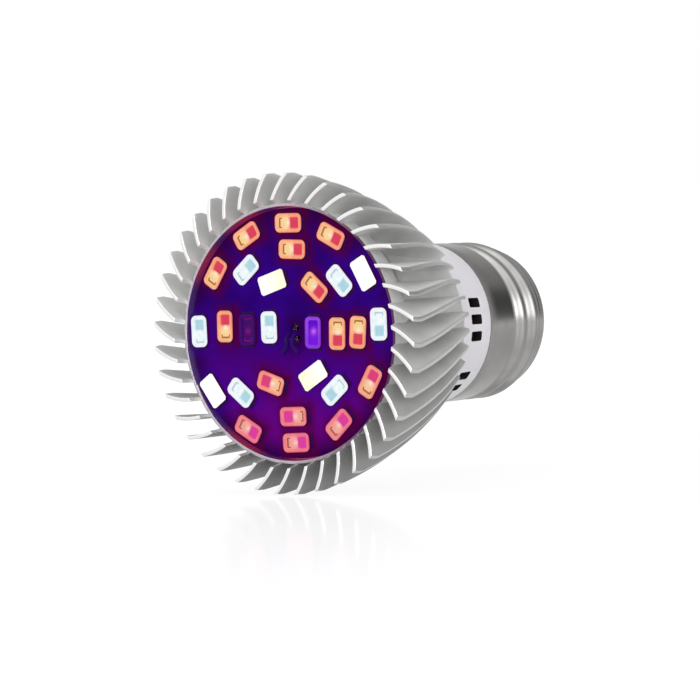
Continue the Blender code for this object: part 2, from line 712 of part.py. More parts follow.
def main():
    clear_scene()
    aluminium = finish("aluminium", (0.62, 0.62, 0.63), 0.35, metallic=1.0)
    heat_sink(aluminium)
    led_board(finish("solder_mask", (0.20, 0.16, 0.30), 0.45))
    place_leds({
        "red": finish("red_led", (0.9, 0.45, 0.35), 0.3, glow=(1.0, 0.12, 0.10)),
        "blue": finish("blue_led", (0.75, 0.85, 0.95), 0.3, glow=(0.25, 0.45, 1.0)),
        "white": finish("white_led", (0.95, 0.95, 0.92), 0.3, glow=(1.0, 1.0, 1.0)),
        "warm_white": finish("warm_white_led", (0.95, 0.92, 0.80), 0.3, glow=(1.0, 0.85, 0.6)),
        "infrared": finish("infrared_led", (0.12, 0.05, 0.14), 0.3),
        "violet": finish("violet_led", (0.4, 0.1, 0.9), 0.3, glow=(0.35, 0.02, 1.0)),
    })
    collar(finish("collar_plastic", (0.80, 0.80, 0.82), 0.4))
    nickel = finish("nickel", (0.60, 0.60, 0.60), 0.25, metallic=1.0)
    screw_shell(nickel)
    insulator(finish("black_glass", (0.02, 0.02, 0.02), 0.15))
    centre_contact(finish("solder", (0.55, 0.55, 0.57), 0.4, metallic=1.0))
    driver({
        "board": finish("circuit_board", (0.55, 0.42, 0.18), 0.5),
        "sleeve": finish("capacitor_sleeve", (0.05, 0.05, 0.08), 0.4),
        "ferrite": finish("ferrite", (0.08, 0.08, 0.08), 0.6),
        "tape": finish("winding_tape", (0.85, 0.65, 0.10), 0.4),
        "resistor": finish("resistor_paint", (0.25, 0.45, 0.30), 0.5),
        "epoxy": finish("red_epoxy", (0.50, 0.12, 0.06), 0.35),
        "chip": finish("chip_plastic", (0.03, 0.03, 0.03), 0.5),
    })
    wires({
        "led_positive_wire": finish("red_insulation", (0.70, 0.03, 0.03), 0.45),
        "led_negative_wire": finish("black_insulation", (0.03, 0.03, 0.03), 0.45),
        "live_wire": finish("brown_insulation", (0.25, 0.10, 0.04), 0.45),
        "neutral_wire": finish("blue_insulation", (0.05, 0.15, 0.55), 0.45),
    })


main()
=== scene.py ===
"""Looks for a grow lamp: turned fins, a lit LED board, a plastic collar and a rolled screw cap.

The lamp lies level along Y, with its LED face towards -Y and its cap towards +Y. Depths run
along the axis from the plane of the fins' front edges. Angles are seen from the front, from +X
towards +Z.
"""

import math

import bmesh
import bpy
from mathutils import Matrix, Vector


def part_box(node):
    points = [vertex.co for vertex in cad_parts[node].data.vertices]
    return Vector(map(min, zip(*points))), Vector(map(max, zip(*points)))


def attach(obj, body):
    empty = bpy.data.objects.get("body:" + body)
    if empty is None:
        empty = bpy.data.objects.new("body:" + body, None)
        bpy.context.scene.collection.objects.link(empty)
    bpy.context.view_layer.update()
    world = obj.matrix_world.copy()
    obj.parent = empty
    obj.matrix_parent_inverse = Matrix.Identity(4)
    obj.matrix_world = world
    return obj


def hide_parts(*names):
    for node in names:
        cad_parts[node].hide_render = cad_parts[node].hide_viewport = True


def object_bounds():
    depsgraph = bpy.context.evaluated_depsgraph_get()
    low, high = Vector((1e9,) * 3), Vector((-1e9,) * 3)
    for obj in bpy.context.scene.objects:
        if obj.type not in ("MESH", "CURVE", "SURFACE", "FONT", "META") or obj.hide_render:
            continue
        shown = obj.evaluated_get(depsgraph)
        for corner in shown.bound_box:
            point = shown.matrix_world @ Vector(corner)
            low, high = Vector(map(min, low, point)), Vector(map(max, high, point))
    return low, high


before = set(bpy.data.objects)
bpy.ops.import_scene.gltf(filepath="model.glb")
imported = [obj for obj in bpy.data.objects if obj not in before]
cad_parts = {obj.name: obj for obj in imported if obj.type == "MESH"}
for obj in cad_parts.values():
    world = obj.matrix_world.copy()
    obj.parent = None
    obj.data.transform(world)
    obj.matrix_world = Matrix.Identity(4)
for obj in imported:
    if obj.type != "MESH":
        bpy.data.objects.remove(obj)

bl_info = {
    "name": "Grow lamp",
    "version": (1, 0, 0),
    "blender": (4, 5, 0),
    "location": "3D View > Sidebar > Grow lamp",
    "description": "Builds the visible pieces and finishes of a grow lamp round its packed solids",
    "category": "Object",
}

CAD_BOX = [list(corner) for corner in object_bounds()]
LAMP_LENGTH = -CAD_BOX[0][1]


def reach(node):
    """The depths at which a CAD node starts and ends, and its largest radius."""
    low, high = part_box(node)
    return low.y + LAMP_LENGTH, high.y + LAMP_LENGTH, high.x


# How the LEDs stand on the board, in rings from the outside in, anticlockwise from +X. A plus marks
# a package whose chip sits at the end that comes last.
LED_RINGS = (
    "blue white red red red red blue white red+ red+ red+ red+",
    "red blue red blue red blue+ red blue",
    "red red warm_white infrared red warm_white",
    "violet blue",
)


def shade(red, green, blue):
    """A colour as it looks on a screen, 0 to 255, as the linear values that a shader takes."""
    return tuple((c / 255 / 12.92) if c <= 10 else ((c / 255 + 0.055) / 1.055) ** 2.4
                 for c in (red, green, blue))


def around(radius, angle, depth):
    """A point at a radius and angle about the lamp's axis."""
    return Vector((radius * math.cos(angle), depth - LAMP_LENGTH, radius * math.sin(angle)))


def ease(share):
    """0 below 0, 1 above 1 and a smooth rise between."""
    share = min(1.0, max(0.0, share))
    return share * share * (3 - 2 * share)


# Finishes

GLOW = "glow"
# Painted shade: the heights along Z over which the satin metal darkens low down, and the run along
# X over which the ring's front edge darkens to the right
OWN_SHADE = (-0.024, 0.004)
FIN_SHADE = (0.0, 0.014)


class Nodes:
    """A node tree in the making."""

    def __init__(self, tree):
        self.tree = tree

    def node(self, kind, settings=None, **inputs):
        made = self.tree.nodes.new(kind)
        for name, value in (settings or {}).items():
            setattr(made, name, value)
        self.set(made, inputs)
        return made

    def set(self, node, inputs):
        """Gives a node's sockets, named with underscores for spaces, values or other outputs."""
        for name, value in inputs.items():
            self.feed(node.inputs[name.replace("_", " ")], value)

    def feed(self, socket, value):
        if isinstance(value, bpy.types.NodeSocket):
            self.tree.links.new(value, socket)
        elif socket.type == "RGBA":
            socket.default_value = (*value[:3], 1.0)
        else:
            socket.default_value = value

    def join(self, kind, *inputs, **settings):
        """A node whose sockets are fed in their order."""
        made = self.node(kind, settings)
        for socket, value in zip(made.inputs, inputs):
            self.feed(socket, value)
        return made

    def span(self, value, low, high, start=0.0, end=1.0):
        """Spreads a value between two limits."""
        return self.node("ShaderNodeMapRange", Value=value, From_Min=start, From_Max=end,
                         To_Min=low, To_Max=high).outputs["Result"]


class Finish(Nodes):
    """A node material in the making."""

    def __init__(self, name, **sockets):
        self.material = bpy.data.materials.new(name)
        self.material.use_nodes = True
        super().__init__(self.material.node_tree)
        self.shader = self.tree.nodes["Principled BSDF"]
        self.place = self.node("ShaderNodeTexCoord").outputs["Object"]
        self.set(self.shader, sockets)

    def noise(self, scale, detail=2.0, stretch=(1, 1, 1)):
        """Noise in the piece's own coordinates, drawn out along an axis where stretch is small."""
        mapped = self.node("ShaderNodeMapping", Vector=self.place, Scale=stretch)
        return self.node("ShaderNodeTexNoise", Vector=mapped.outputs[0], Scale=scale,
                         Detail=detail).outputs["Fac"]

    def run(self, axis, start, end):
        """0 at one place along an axis of the piece and 1 at another."""
        split = self.node("ShaderNodeSeparateXYZ", Vector=self.place)
        return self.span(split.outputs[axis], 0.0, 1.0, start, end)

    def mix(self, share, first, second):
        """One colour over another."""
        made = self.node("ShaderNodeMix", {"data_type": "RGBA"})
        for index, value in ((0, share), (6, first), (7, second)):
            self.feed(made.inputs[index], value)
        return made.outputs[2]

    def glow(self, dimmed, strength=1.0):
        """Shines with the light that paint() gave to the piece's vertices, dimmed by a share."""
        light = self.node("ShaderNodeAttribute", {"attribute_name": GLOW}).outputs["Color"]
        self.set(self.shader, {"Emission Color": self.mix(dimmed, light, (0, 0, 0)),
                               "Emission Strength": strength})

    def bump(self, height, distance, strength):
        made = self.node("ShaderNodeBump", Height=height, Distance=distance, Strength=strength)
        self.tree.links.new(made.outputs[0], self.shader.inputs["Normal"])

    def shine(self, share, first, second, **sockets):
        """Feeds the shader, with one colour over another as its base, and returns the material."""
        self.set(self.shader, {"Base Color": self.mix(share, first, second), **sockets})
        return self.material


def toned(colour, share):
    return tuple(c * share for c in colour)


def satin_alloy(colour):
    """The fins' sides and the core: tumbled aluminium, faintly lined, with painted shade that
    darkens it low down.
    """
    made = Finish("satin_alloy", Metallic=0.7)
    lines = made.noise(2600, 3, (1, 0.04, 1))
    clouds = made.noise(170, 3)
    # Painted shade: the metal's colour darkens towards the bottom
    height = made.run("Z", *OWN_SHADE)
    clean = made.mix(height, toned(colour, 0.42), colour)
    dull = made.mix(height, toned(colour, 0.34), toned(colour, 0.84))
    tone = made.mix(made.span(clouds, 0.0, 1.0, 0.35, 0.65), clean, dull)
    made.bump(lines, 0.00002, 0.3)
    return made.shine(made.span(lines, 0, 0.5), tone, clean,
                      Roughness=made.span(clouds, 0.56, 0.66))


def cut_metal(name, colour, low, high):
    """Metal fresh from the lathe, with fine rings."""
    made = Finish(name, Metallic=1.0)
    rings = made.noise(5200, 2, (0.04, 1, 0.04))
    made.bump(rings, 0.00001, 0.3)
    return made.shine(made.span(rings, 0, 0.8), colour, toned(colour, 0.86),
                      Roughness=made.span(rings, low, high))


def bored_metal(colour):
    """The pocket's bored wall, with the light of the LEDs beside it in its own attribute."""
    made = Finish("pocket_bore", Metallic=1.0)
    rings = made.noise(5200, 2, (0.04, 1, 0.04))
    made.glow(made.span(rings, 0.0, 0.5))
    return made.shine(made.span(rings, 0, 0.6), colour, toned(colour, 0.7),
                      Roughness=made.span(rings, 0.24, 0.36))


def rim_metal(colour, shaded):
    """The ring's front edge, clean to the left and shaded by the fins to the right."""
    made = Finish("ring_edge", Metallic=1.0)
    grain = made.noise(2400, 3)
    tone = made.mix(made.run("X", *FIN_SHADE), colour, shaded)
    return made.shine(made.span(grain, 0, 0.5), tone, toned(shaded, 0.8),
                      Roughness=made.span(grain, 0.30, 0.45))


def solder_mask(colour):
    """The board's dark mask, with the light that the LEDs throw on it in its own attribute."""
    made = Finish("solder_mask", Specular_IOR_Level=0.005)
    grain = made.noise(900, 3)
    made.bump(made.noise(9000, 1), 0.000008, 0.4)
    made.glow(made.span(grain, 0.0, 0.22))
    return made.shine(grain, colour, toned(colour, 0.6), Roughness=made.span(grain, 0.32, 0.46))


def lit(name, colour, strength):
    """A surface that shines with the light in its own attribute, slightly mottled."""
    made = Finish(name, Specular_IOR_Level=0.05)
    mottle = made.noise(1500)
    made.glow(made.span(mottle, 0.0, 0.10, 0.35, 0.7), strength)
    return made.shine(mottle, colour, toned(colour, 0.5), Roughness=made.span(mottle, 0.3, 0.42))


def tinted(name, colour, glow):
    """A small dark part that only shows the light that the LEDs throw on it."""
    made = Finish(name, Specular_IOR_Level=0.05)
    clouds = made.noise(1200)
    return made.shine(clouds, colour, toned(colour, 0.6),
                      Roughness=made.span(clouds, 0.4, 0.6), Emission_Strength=1.0,
                      Emission_Color=made.mix(clouds, glow, toned(glow, 0.7)))


def moulded(name, colour, low=0.34, high=0.46):
    """Moulded plastic with a fine, even grain."""
    made = Finish(name)
    clouds = made.noise(175)
    made.bump(made.noise(5600), 0.00001, 0.5)
    return made.shine(made.span(clouds, 0, 0.5), colour, toned(colour, 0.90),
                      Roughness=made.span(clouds, low, high))


def plated(colour):
    """Rolled and plated sheet metal, with fine lines round the axis and faint tarnish."""
    made = Finish("nickel_plate", Metallic=1.0)
    tarnish = made.noise(260, 4)
    made.bump(made.noise(4200, 2, (0.05, 1, 0.05)), 0.000008, 0.3)
    return made.shine(made.span(tarnish, 0.0, 0.7, 0.4, 0.7), colour, toned(colour, 0.78),
                      Roughness=made.span(tarnish, 0.17, 0.29))


def solder(colour):
    """A dome of solder, slightly pitted."""
    made = Finish("solder", Metallic=1.0)
    pits = made.noise(1500, 4)
    made.bump(pits, 0.00004, 0.5)
    return made.shine(made.span(pits, 0, 0.5), colour, toned(colour, 0.75),
                      Roughness=made.span(pits, 0.28, 0.45))


def black_glass(colour):
    """The cap's fused black glass, glossy and slightly rippled."""
    made = Finish("black_glass", Coat_Weight=0.6, Coat_Roughness=0.05)
    ripple = made.noise(350)
    made.bump(ripple, 0.0001, 0.4)
    return made.shine(ripple, colour, toned(colour, 2.2), Roughness=made.span(ripple, 0.08, 0.18))


# Meshes


def rounded(bm, edges, offset, segments=2):
    """Bevels edges, and gives back the corners that this makes."""
    return bmesh.ops.bevel(bm, geom=edges, offset=offset, segments=segments, affect="EDGES",
                           profile=0.5, material=-1)["verts"]


def to_mesh(name, bm):
    """Turns a bmesh into a mesh and frees it."""
    mesh = bpy.data.meshes.new(name)
    bm.to_mesh(mesh)
    bm.free()
    return mesh


def placed(name, data):
    """Puts a mesh, a light or a camera in the scene."""
    made = bpy.data.objects.new(name, data)
    bpy.context.scene.collection.objects.link(made)
    return made


def off_axis(point):
    """How far a point lies from the lamp's axis."""
    return math.hypot(point.x, point.z)


def box(bm, size, centre, material=0, bevel=0.0):
    """Adds a block to a bmesh, with its own material slot, and gives back its corners."""
    corners = bmesh.ops.create_cube(
        bm, size=1.0, matrix=Matrix.Translation(centre) @ Matrix.Diagonal((*size, 1)))["verts"]
    for face in {face for corner in corners for face in corner.link_faces}:
        face.material_index = material
    if bevel:
        rounded(bm, list({edge for corner in corners for edge in corner.link_edges}), bevel)
    return corners


def spun(bm, profile, segments, closed=True):
    """Spins (radius, depth) corners about the lamp's axis: a closed ring, or a solid on it."""
    corners = [bm.verts.new((radius, depth - LAMP_LENGTH, 0)) for radius, depth in profile]
    pairs = list(zip(corners, corners[1:]))
    if closed:
        pairs.append((corners[-1], corners[0]))
    edges = [bm.edges.new(pair) for pair in pairs]
    bmesh.ops.spin(bm, geom=corners + edges, cent=(0, 0, 0), axis=(0, 1, 0), dvec=(0, 0, 0),
                   angle=2 * math.pi, steps=segments, use_merge=True, use_duplicate=False)
    bmesh.ops.remove_doubles(bm, verts=bm.verts, dist=1e-7)
    bmesh.ops.recalc_face_normals(bm, faces=bm.faces)


def soften(bm, offset, angle=math.radians(40)):
    """Bevels the edges that are sharper than an angle."""
    rounded(bm, [edge for edge in bm.edges
                 if len(edge.link_faces) == 2 and edge.calc_face_angle(0) > angle], offset)


def smoothed(mesh, angle):
    mesh.shade_smooth()
    mesh.set_sharp_from_angle(angle=math.radians(angle))


def piece(name, bm, materials, nodes, angle=35):
    """Makes a piece from a bmesh that stands for CAD nodes and rides on the lamp."""
    mesh = to_mesh(name, bm)
    smoothed(mesh, angle)
    for material in materials:
        mesh.materials.append(material)
    made = placed(name, mesh)
    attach(made, "root")
    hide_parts(*nodes)
    return made


def paint(made, light):
    """Gives a piece's vertices the light that falls on them."""
    glow = made.data.attributes.new(GLOW, "FLOAT_COLOR", "POINT")
    for vert, value in zip(made.data.vertices, glow.data):
        value.color = (*light(vert.co), 1.0)


# The LED board's size, which the heat sink's pocket follows

FIT_GAP = 0.0003
BOARD_FACE, BOARD_BACK, BOARD_RADIUS = reach("led_board")
BOARD_HOLE_RADIUS = 0.0016
POCKET_RADIUS = BOARD_RADIUS + FIT_GAP
POCKET_FLOOR = BOARD_BACK + FIT_GAP
LED_BODY = Vector((0.0050, 0.0030, 0.0008))


def led_spots():
    """Each LED's node, kind, centre, the way its long side runs and if its chip end is last."""
    counts, spots = {}, []
    kinds = " ".join(LED_RINGS).replace("+", "").split()
    for ring in LED_RINGS:
        leds = ring.split()
        for index, led in enumerate(leds):
            kind = led.rstrip("+")
            counts[kind] = counts.get(kind, 0) + 1
            node = kind + "_led" + ("_%02d" % counts[kind] if kinds.count(kind) > 1 else "")
            low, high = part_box(node)
            centre = (low + high) / 2
            corners = [vert.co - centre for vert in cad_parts[node].data.vertices]
            skew = sum(corner.x * corner.z for corner in corners)
            stretch = sum(corner.x ** 2 - corner.z ** 2 for corner in corners)
            lean = math.atan2(2 * skew, stretch) / 2
            along = Vector((math.cos(lean), 0, math.sin(lean)))
            even = 2 * math.pi * index / len(leds)
            if along.dot(Vector((-math.sin(even), 0, math.cos(even)))) < 0:
                along.negate()
            spots.append((node, kind, centre, along, led.endswith("+")))
    return spots


# The heat sink


class HeatSinkSettings(bpy.types.PropertyGroup):
    fin_count: bpy.props.IntProperty(
        name="Fins", description="Number of fins round the core", default=40, min=12)
    fin_thickness: bpy.props.FloatProperty(
        name="Fin thickness", description="Thickness of a fin", default=0.0006, unit="LENGTH",
        precision=5)
    sweep: bpy.props.FloatProperty(
        name="Sweep", description="How far a fin turns from the ring to its tip",
        default=math.radians(8.2), subtype="ANGLE")
    edge: bpy.props.FloatProperty(
        name="Edge", description="Rounding of a fin's cut edges", default=0.00010, unit="LENGTH",
        precision=5)
    bulge: bpy.props.FloatProperty(
        name="Bulge", description="Swelling of the bell between its ends", default=0.0011,
        unit="LENGTH", precision=5)
    alloy: bpy.props.FloatVectorProperty(
        name="Alloy", description="Colour of the satin metal", subtype="COLOR",
        default=shade(218, 218, 217))
    bell: bpy.props.FloatVectorProperty(
        name="Bell", description="Colour of the fins' turned outer edges", subtype="COLOR",
        default=shade(212, 212, 211))
    cut: bpy.props.FloatVectorProperty(
        name="Cut metal", description="Colour of the fins' front edges", subtype="COLOR",
        default=shade(244, 242, 242))
    ring: bpy.props.FloatVectorProperty(
        name="Ring", description="Colour of the ring's front edge", subtype="COLOR",
        default=shade(214, 206, 214))
    wall_glow: bpy.props.FloatVectorProperty(
        name="Wall glow", description="Light on the pocket's wall", subtype="COLOR",
        default=shade(30, 2, 60))
    wall_red: bpy.props.FloatVectorProperty(
        name="Red on the wall", description="Light on the pocket's wall beside a red LED",
        subtype="COLOR", default=shade(132, 24, 54))
    shaded_ring: bpy.props.FloatVectorProperty(
        name="Shaded ring", description="Colour of the ring's front edge to the right",
        subtype="COLOR", default=shade(92, 62, 84))


SINK_LENGTH = reach("heat_sink")[1]
FIN_FRONT_RADIUS = 0.02526
FIN_REAR_RADIUS = 0.0170
FIN_CORNER = 0.0004
FIN_LEAD = 0.0019
FIN_LEAN = 0.0005
FIN_CLOCKING = math.radians(2.7)
FIN_STEPS_OUT = 7
FIN_STEPS_ALONG = 28
FIN_CROWDING = 1.7
EVEN_SWEEP = 0.78
RING_RADIUS = 0.02026
WEB_THICKNESS = 0.0025
WEB_BACK = POCKET_FLOOR + WEB_THICKNESS
SHOULDER_LENGTH = 0.0010
SHOULDER_END = WEB_BACK + SHOULDER_LENGTH
SHOULDER_RADIUS = 0.01856
CORE_REAR_RADIUS = 0.0160
CORE_SAG = 0.0005
CAVITY_RADIUS = 0.01425
WEB_HOLE_RADIUS = 0.0022
CORE_EDGE = 0.00008
CORE_SEGMENTS = 160
RED_REACH = 0.0025
RED_FADE = 0.0016
WALL_LIGHT_END = POCKET_FLOOR + 0.0005
HAIR = 0.0001
# The heat sink's material slots after its first, the satin metal
CUT, BELL, BORE, RIM = range(1, 5)


def bell_radius(sink, depth):
    """The turned outside of the fins, drawn in a little at its front."""
    share = max(depth, FIN_LEAD) / SINK_LENGTH
    radius = FIN_FRONT_RADIUS + (FIN_REAR_RADIUS - FIN_FRONT_RADIUS) * share
    radius += 4 * sink.bulge * share * (1 - share)
    front = FIN_FRONT_RADIUS - FIN_CORNER
    return radius + (front - radius) * max(0.0, 1 - depth / FIN_LEAD)


def core_radius(depth):
    """The outside of the core between the fins."""
    if depth <= POCKET_FLOOR:
        return RING_RADIUS
    if depth < SHOULDER_END:
        share = (depth - POCKET_FLOOR) / (SHOULDER_END - POCKET_FLOOR)
        return RING_RADIUS + (SHOULDER_RADIUS - RING_RADIUS) * share
    share = (depth - SHOULDER_END) / (SINK_LENGTH - SHOULDER_END)
    straight = SHOULDER_RADIUS + (CORE_REAR_RADIUS - SHOULDER_RADIUS) * share
    return straight - 4 * CORE_SAG * share * (1 - share)


def fin_turn(sink, radius):
    """How far a fin's middle has swept, clockwise from the front, at a radius."""
    share = (radius - RING_RADIUS) / (FIN_FRONT_RADIUS - RING_RADIUS)
    return -sink.sweep * (EVEN_SWEEP * share + (1 - EVEN_SWEEP) * share ** 2)


def wall_light(sink, spots, point):
    """The light on the pocket's wall and in the mouth of the wire hole: red beside a red LED."""
    if off_axis(point) > POCKET_RADIUS + HAIR or point.y + LAMP_LENGTH > WALL_LIGHT_END:
        return Vector()
    near = min(off_axis(point - centre) for _, kind, centre, _, _ in spots if kind == "red")
    red = math.exp(-(max(near - RED_REACH, 0) / RED_FADE) ** 2)
    return Vector(sink.wall_glow).lerp(Vector(sink.wall_red), red)


def fin(sink):
    """One fin: a sheet laid from the core to the bell, with its thickness and rounded edges."""
    bm = bmesh.new()
    bmesh.ops.create_grid(bm, x_segments=FIN_STEPS_OUT, y_segments=FIN_STEPS_ALONG, size=0.5)
    bmesh.ops.solidify(bm, geom=bm.faces[:], thickness=1.0)
    bmesh.ops.recalc_face_normals(bm, faces=bm.faces)
    for face in bm.faces:
        if face.normal.y < -0.5:
            face.material_index = CUT
        elif face.normal.y > 0.5 or face.normal.x > 0.5:
            face.material_index = BELL
    for vert in bm.verts:
        depth = SINK_LENGTH * (vert.co.y + 0.5) ** FIN_CROWDING
        inner = core_radius(depth)
        inner += FIN_LEAN * (1 - depth / FIN_LEAD) if depth < FIN_LEAD else -sink.fin_thickness / 2
        radius = inner + (bell_radius(sink, depth) - inner) * (vert.co.x + 0.5)
        turn = fin_turn(sink, radius)
        slant = radius * (fin_turn(sink, radius + 1e-5) - turn) / 1e-5
        half = sink.fin_thickness / 2 * math.hypot(1, slant) / radius
        vert.co = around(radius, FIN_CLOCKING + turn + half * (2 * vert.co.z + 1), depth)
    bmesh.ops.recalc_face_normals(bm, faces=bm.faces)
    sharp = [edge for edge in bm.edges if edge.calc_face_angle(0) > math.radians(50)]
    rounded(bm, sharp, sink.edge)
    return bm


class LAMP_OT_heat_sink(bpy.types.Operator):
    """Turned heat sink: a core with the board's pocket and a ring of curved fins"""

    bl_idname = "lamp.heat_sink"
    bl_label = "Heat sink"

    def execute(self, context):
        sink = context.scene.lamp_heat_sink
        bm = fin(sink)
        count = sink.fin_count
        bmesh.ops.spin(bm, geom=bm.verts[:] + bm.edges[:] + bm.faces[:], cent=(0, 0, 0),
                       axis=(0, 1, 0), dvec=(0, 0, 0), angle=2 * math.pi * (count - 1) / count,
                       steps=count - 1, use_merge=False, use_duplicate=True)
        fins = to_mesh("fins", bm)

        core = bmesh.new()
        neck = [SHOULDER_END + (SINK_LENGTH - SHOULDER_END) * step / 8 for step in range(9)]
        spun(core, [
            (RING_RADIUS, FIN_LEAD), (RING_RADIUS, POCKET_FLOOR),
            *((core_radius(depth), depth) for depth in neck), (CAVITY_RADIUS, SINK_LENGTH),
            (CAVITY_RADIUS, WEB_BACK), (WEB_HOLE_RADIUS, WEB_BACK), (WEB_HOLE_RADIUS, POCKET_FLOOR),
            (POCKET_RADIUS, POCKET_FLOOR), (POCKET_RADIUS, FIN_LEAD),
        ], CORE_SEGMENTS)
        for face in core.faces:
            centre = face.calc_center_median()
            depth = centre.y + LAMP_LENGTH
            if off_axis(centre) < POCKET_RADIUS and depth < WEB_BACK - HAIR:
                face.material_index = BORE
            elif face.normal.y < -0.8 and depth < POCKET_FLOOR:
                face.material_index = RIM
        soften(core, CORE_EDGE)
        core.from_mesh(fins)
        bpy.data.meshes.remove(fins)
        made = piece("turned_heat_sink", core, [
            satin_alloy(sink.alloy), cut_metal("cut_edge", sink.cut, 0.30, 0.42),
            cut_metal("bell_edge", sink.bell, 0.30, 0.44), bored_metal(sink.bell),
            rim_metal(sink.ring, sink.shaded_ring),
        ], ["heat_sink"], angle=30)
        spots = led_spots()
        paint(made, lambda point: wall_light(sink, spots, point))
        return {"FINISHED"}


# The LED board


class BoardSettings(bpy.types.PropertyGroup):
    mask: bpy.props.FloatVectorProperty(
        name="Mask", description="Colour of the board's mask", subtype="COLOR",
        default=shade(3, 1, 6))
    glow: bpy.props.FloatVectorProperty(
        name="Glow", description="Light on the board's upper half", subtype="COLOR",
        default=shade(42, 0, 112))
    low_glow: bpy.props.FloatVectorProperty(
        name="Lower glow", description="Light on the board's lower half", subtype="COLOR",
        default=shade(104, 2, 134))
    edge_glow: bpy.props.FloatVectorProperty(
        name="Edge glow", description="Light at the board's edge", subtype="COLOR",
        default=shade(44, 0, 66))
    red_spill: bpy.props.FloatVectorProperty(
        name="Red spill", description="Light round a red LED", subtype="COLOR",
        default=shade(84, 0, 44))
    blue_spill: bpy.props.FloatVectorProperty(
        name="Blue spill", description="Light round a blue or white LED", subtype="COLOR",
        default=shade(58, 4, 150))


BOARD_RINGS = 46
BOARD_SEGMENTS = 180
BOARD_EDGE = 0.0001
LOW_GLOW_HEIGHT = -0.006
LOW_GLOW_SPREAD = 0.022
EDGE_GLOW_START = 0.0155
EDGE_GLOW_SPREAD = 0.0045
HOLE_GLOW_FADE = 0.0016
# The light that LEDs spill round them: its setting, their kinds, how far it fades and its share
SPILLS = (
    ("blue_spill", ("blue", "white", "warm_white"), 0.0017, 0.55),
    ("red_spill", ("red",), 0.0010, 0.85),
)


def led_distance(point, centre, along):
    """How far a point of the board lies from an LED's edge."""
    offset = point - centre
    lengthwise = abs(offset.dot(along)) - LED_BODY.x / 2
    across = abs(offset.dot(Vector((-along.z, 0, along.x)))) - LED_BODY.y / 2
    return math.hypot(max(lengthwise, 0), max(across, 0))


def board_light(board, spots, point):
    """The light that falls on a point of the board."""
    radius = off_axis(point)
    low = ease(0.5 - (point.z - LOW_GLOW_HEIGHT) / LOW_GLOW_SPREAD)
    light = Vector(board.glow).lerp(Vector(board.low_glow), low)
    edge = ease((radius - EDGE_GLOW_START) / EDGE_GLOW_SPREAD)
    hole = 0.9 * math.exp(-(max(radius - BOARD_HOLE_RADIUS, 0) / HOLE_GLOW_FADE) ** 2)
    light = light.lerp(Vector(board.edge_glow), max(edge, hole))
    for spill, kinds, fade, most in SPILLS:
        near = min(led_distance(point, centre, along)
                   for _, kind, centre, along, _ in spots if kind in kinds)
        share = most * math.exp(-(near / fade) ** 1.5)
        light = light.lerp(Vector(getattr(board, spill)), share)
    return light


class LAMP_OT_led_board(bpy.types.Operator):
    """LED board, with the light of its LEDs on it"""

    bl_idname = "lamp.led_board"
    bl_label = "LED board"

    def execute(self, context):
        board = context.scene.lamp_board
        spots = led_spots()
        width = BOARD_RADIUS - BOARD_HOLE_RADIUS
        face = [(BOARD_HOLE_RADIUS + width * step / BOARD_RINGS, BOARD_FACE)
                for step in range(BOARD_RINGS + 1)]
        bm = bmesh.new()
        spun(bm, [*face, (BOARD_RADIUS, BOARD_BACK), (BOARD_HOLE_RADIUS, BOARD_BACK)],
             BOARD_SEGMENTS)
        soften(bm, BOARD_EDGE)
        made = piece("lit_board", bm, [solder_mask(board.mask)], ["led_board"])
        paint(made, lambda point: board_light(board, spots, point))
        return {"FINISHED"}


# The LEDs


class LedSettings(bpy.types.PropertyGroup):
    corner: bpy.props.FloatProperty(
        name="Corner", description="Rounding of a package's corners", default=0.0009, unit="LENGTH",
        precision=5)
    rim: bpy.props.FloatProperty(
        name="Rim", description="Width of a package's rim", default=0.00045, unit="LENGTH",
        precision=5)
    well: bpy.props.FloatProperty(
        name="Well", description="Depth of the lens well", default=0.0003, unit="LENGTH",
        precision=5)
    chip: bpy.props.FloatProperty(
        name="Chip", description="Width of the chip", default=0.00145, unit="LENGTH", precision=5)
    side: bpy.props.FloatVectorProperty(
        name="Side", description="Light on a package's sides", subtype="COLOR",
        default=shade(58, 0, 66))
    strength: bpy.props.FloatProperty(
        name="Strength", description="How strongly the LEDs shine", default=1.0, min=0)


# The light of a package as it looks: its outer edge, rim, chip end, far end, chip, far contact and
# spot. Values over 255 shine too strongly for the mottling to show.
LED_LIGHT = {
    "red": ((238, 128, 96), (255, 184, 142), (244, 112, 96), (255, 212, 150), (222, 66, 92),
            (166, 116, 56), (255, 240, 212)),
    "blue": ((226, 238, 255), (246, 250, 255), (230, 249, 253), (240, 252, 255), (178, 217, 231),
             (194, 210, 222), (255, 255, 255)),
    "white": ((276, 276, 276),) * 7,
    "warm_white": ((258, 252, 232), (262, 260, 252), (262, 260, 228), (268, 268, 264),
                   (262, 260, 228), (255, 254, 246), (255, 255, 250)),
    "infrared": ((50, 0, 92), (60, 0, 104), (66, 0, 104), (66, 0, 104), (62, 0, 98), (112, 8, 104),
                 (124, 12, 118)),
    "violet": ((116, 40, 200), (152, 68, 228), (110, 4, 214), (98, 0, 206), (122, 20, 226),
               (92, 0, 196), (214, 104, 255)),
}
